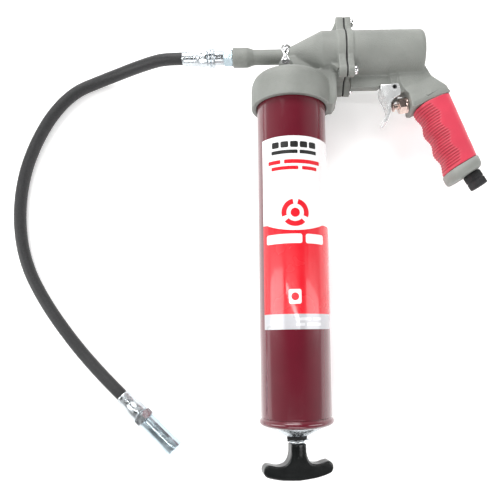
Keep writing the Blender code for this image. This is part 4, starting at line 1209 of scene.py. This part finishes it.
def make_inlet():
    """A bush with a straight knurl and a threaded bore."""
    end = INLET_LENGTH
    steps = RIDGES * 6
    shape = bmesh.new()
    outer = [
        (INLET_R - 0.0008, GAP, 0.0), (INLET_R - 0.0002, GAP + 0.0006, 0.3), (INLET_R, GAP + 0.0011, 1.0),
        (INLET_R, 0.0062, 1.0), (INLET_R - 0.0004, 0.0065, 0.0), (INLET_R - 0.0004, 0.0071, 0.0),
        (INLET_R, 0.0074, 1.0), (INLET_R, end - 0.0010, 1.0), (INLET_R - 0.0002, end - 0.0005, 0.3),
        (INLET_R - 0.0007, end, 0.0), (0.0056, end, 0.0), (0.0050, end - 0.0008, 0.0),
    ]
    threads = [(0.0050 - 0.00035 * (i % 2), end - 0.0008 - 0.00045 * (i + 1), 0.0) for i in range(21)]
    rest = [(0.0050, 0.0020, 0.0), (0.0030, 0.0020, 0.0), (0.0030, -0.0085, 0.0)]
    rest += [(0.0053, -0.0085, 0.0), (0.0053, GAP, 0.0)]
    loops = []
    for radius, along, knurl in outer + threads + rest:
        loop = []
        for i in range(steps):
            angle = 2 * pi * i / steps
            r = radius - knurl * KNURL_DEPTH * (0.5 - 0.5 * cos(RIDGES * angle))
            loop.append(shape.verts.new((r * cos(angle), r * sin(angle), along)))
        loops.append(loop)
    for first, second in zip(loops, loops[1:] + loops[:1]):
        skin(shape, first, second)
    face_outwards(shape)
    place(shape, INLET_TOP, in_plane(INLET_DOWN))
    finish(shape, "knurled_inlet", BLACK_STEEL, ["air_inlet"], smooth=40)


# ---- trigger and valve

TRIGGER_HALF_WIDTH = 0.0076
TRIGGER_SLOT = 0.0055
NUT_R = 0.0063
STEM_R = 0.0038
STEM_TIP = 0.0134


def make_trigger():
    front = [
        (-0.0114, 0.0018), (-0.0115, -0.0029), (-0.0101, -0.0065), (-0.0080, -0.0104), (-0.0063, -0.0147),
        (-0.0060, -0.0180), (-0.0064, -0.0216), (-0.0082, -0.0253), (-0.0110, -0.0292),
    ]
    back = [
        (-0.0094, -0.0301), (-0.0068, -0.0287), (-0.0050, -0.0251), (-0.0040, -0.0216), (-0.0036, -0.0180),
        (-0.0031, -0.0133), (-0.0001, -0.0092), (0.0047, -0.0060), (0.0040, 0.0008), (0.0028, 0.0029),
    ]
    points = curve_through(front, 5) + curve_through(back, 4)
    shape = slab(points, TRIGGER_HALF_WIDTH, bevel=0.0005, segments=2, angle=50)
    for vertex in shape.verts:
        # The finger's part of the blade narrows towards its tip.
        share = smooth_step(-vertex.co.y, 0.0180, 0.0305)
        vertex.co.z *= 1 - 0.22 * share
    inner = [(x + 0.0024, y) for x, y in curve_through(front[:5], 4)]
    slot_points = [(inner[0][0], 0.0080)] + inner + [(0.0090, -0.0157), (0.0090, 0.0080)]
    shape = cut(shape, slab(slot_points, TRIGGER_SLOT), rod(PIN_R + GAP, -0.010, 0.010))
    place(shape, (*PIVOT, 0))
    finish(shape, "trigger_lever", SATIN, ["trigger"], smooth=40, body="trigger")


def make_pin():
    half = TRIGGER_HALF_WIDTH - 0.0006
    profile = [(0.0008, -half), (PIN_R, -half), (PIN_R, half), (0.0008, half)]
    shape = turned(profile, (*PIVOT, 0), steps=40, closed=True, bevel=0.0001)
    finish(shape, "pivot_pin", BLACK_STEEL, ["trigger_pin"])


def make_valve():
    flange_profile = [
        (0, -0.0060), (0.0043, -0.0060), (0.0043, GAP), (NUT_R - 0.0002, GAP),
        (NUT_R + 0.0001, GAP + 0.0004), (NUT_R + 0.0001, 0.0019), (NUT_R - 0.0003, 0.0024), (0, 0.0024),
    ]
    flange = turned(flange_profile, steps=72)
    low = GAP + 0.0016
    shape = combined(nut(0.0118, low, low + 0.0060, 0.0008), [flange], "UNION")
    shape = cut(shape, rod(0.0025, -0.010, 0.012))
    place(shape, VALVE_FACE, VALVE_OUT)
    finish(shape, "gland_nut", NICKEL, ["valve_nut"])
    profile = [
        (0, STEM_TIP), (STEM_R - 0.0012, STEM_TIP), (STEM_R - 0.0004, STEM_TIP - 0.0003),
        (STEM_R, STEM_TIP - 0.0008), (STEM_R, STEM_TIP - 0.0017), (0.0022, STEM_TIP - 0.0017),
        (0.0022, -0.0066), (0.0036, -0.0070), (0.0036, -0.0088), (0, -0.0088),
    ]
    shape = turned(profile, VALVE_FACE, VALVE_OUT, 56)
    finish(shape, "push_stem", NICKEL, ["valve_stem"], body="valve_stem")


# ---- CAD nodes that stay

KEPT = (
    (CHROME, ("pump_plunger", "check_ball")), (ZINC, ("rod_latch_plate", "follower_nut")),
    (SEAL_RUBBER, ("follower", "barrel_seal", "piston_seal", "rod_seal")),
    (STEEL, ("follower_rod", "follower_back_plate", "follower_front_plate", "follower_spring")),
    (STEEL, ("air_piston", "return_spring", "check_spring", "valve_spring", "inlet_screen")),
)


def dress_kept_nodes():
    for material, names in KEPT:
        for name in names:
            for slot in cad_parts[name].material_slots:
                slot.material = material


# ---- everything

make_camera()
hose, hose_length = make_hose()
on_hose = [make_gun_fitting(), make_gun_ferrule(), *make_coupler()]
make_adapter()
make_barrel()
make_label()
make_barrel_end()
make_gland()
make_collar()
make_t_handle()
make_pump_head()
make_nipple()
make_gasket()
make_screws()
make_motor()
make_grip()
make_end_cap()
make_inlet()
make_trigger()
make_pin()
make_valve()
dress_kept_nodes()
make_lights()
make_floor()
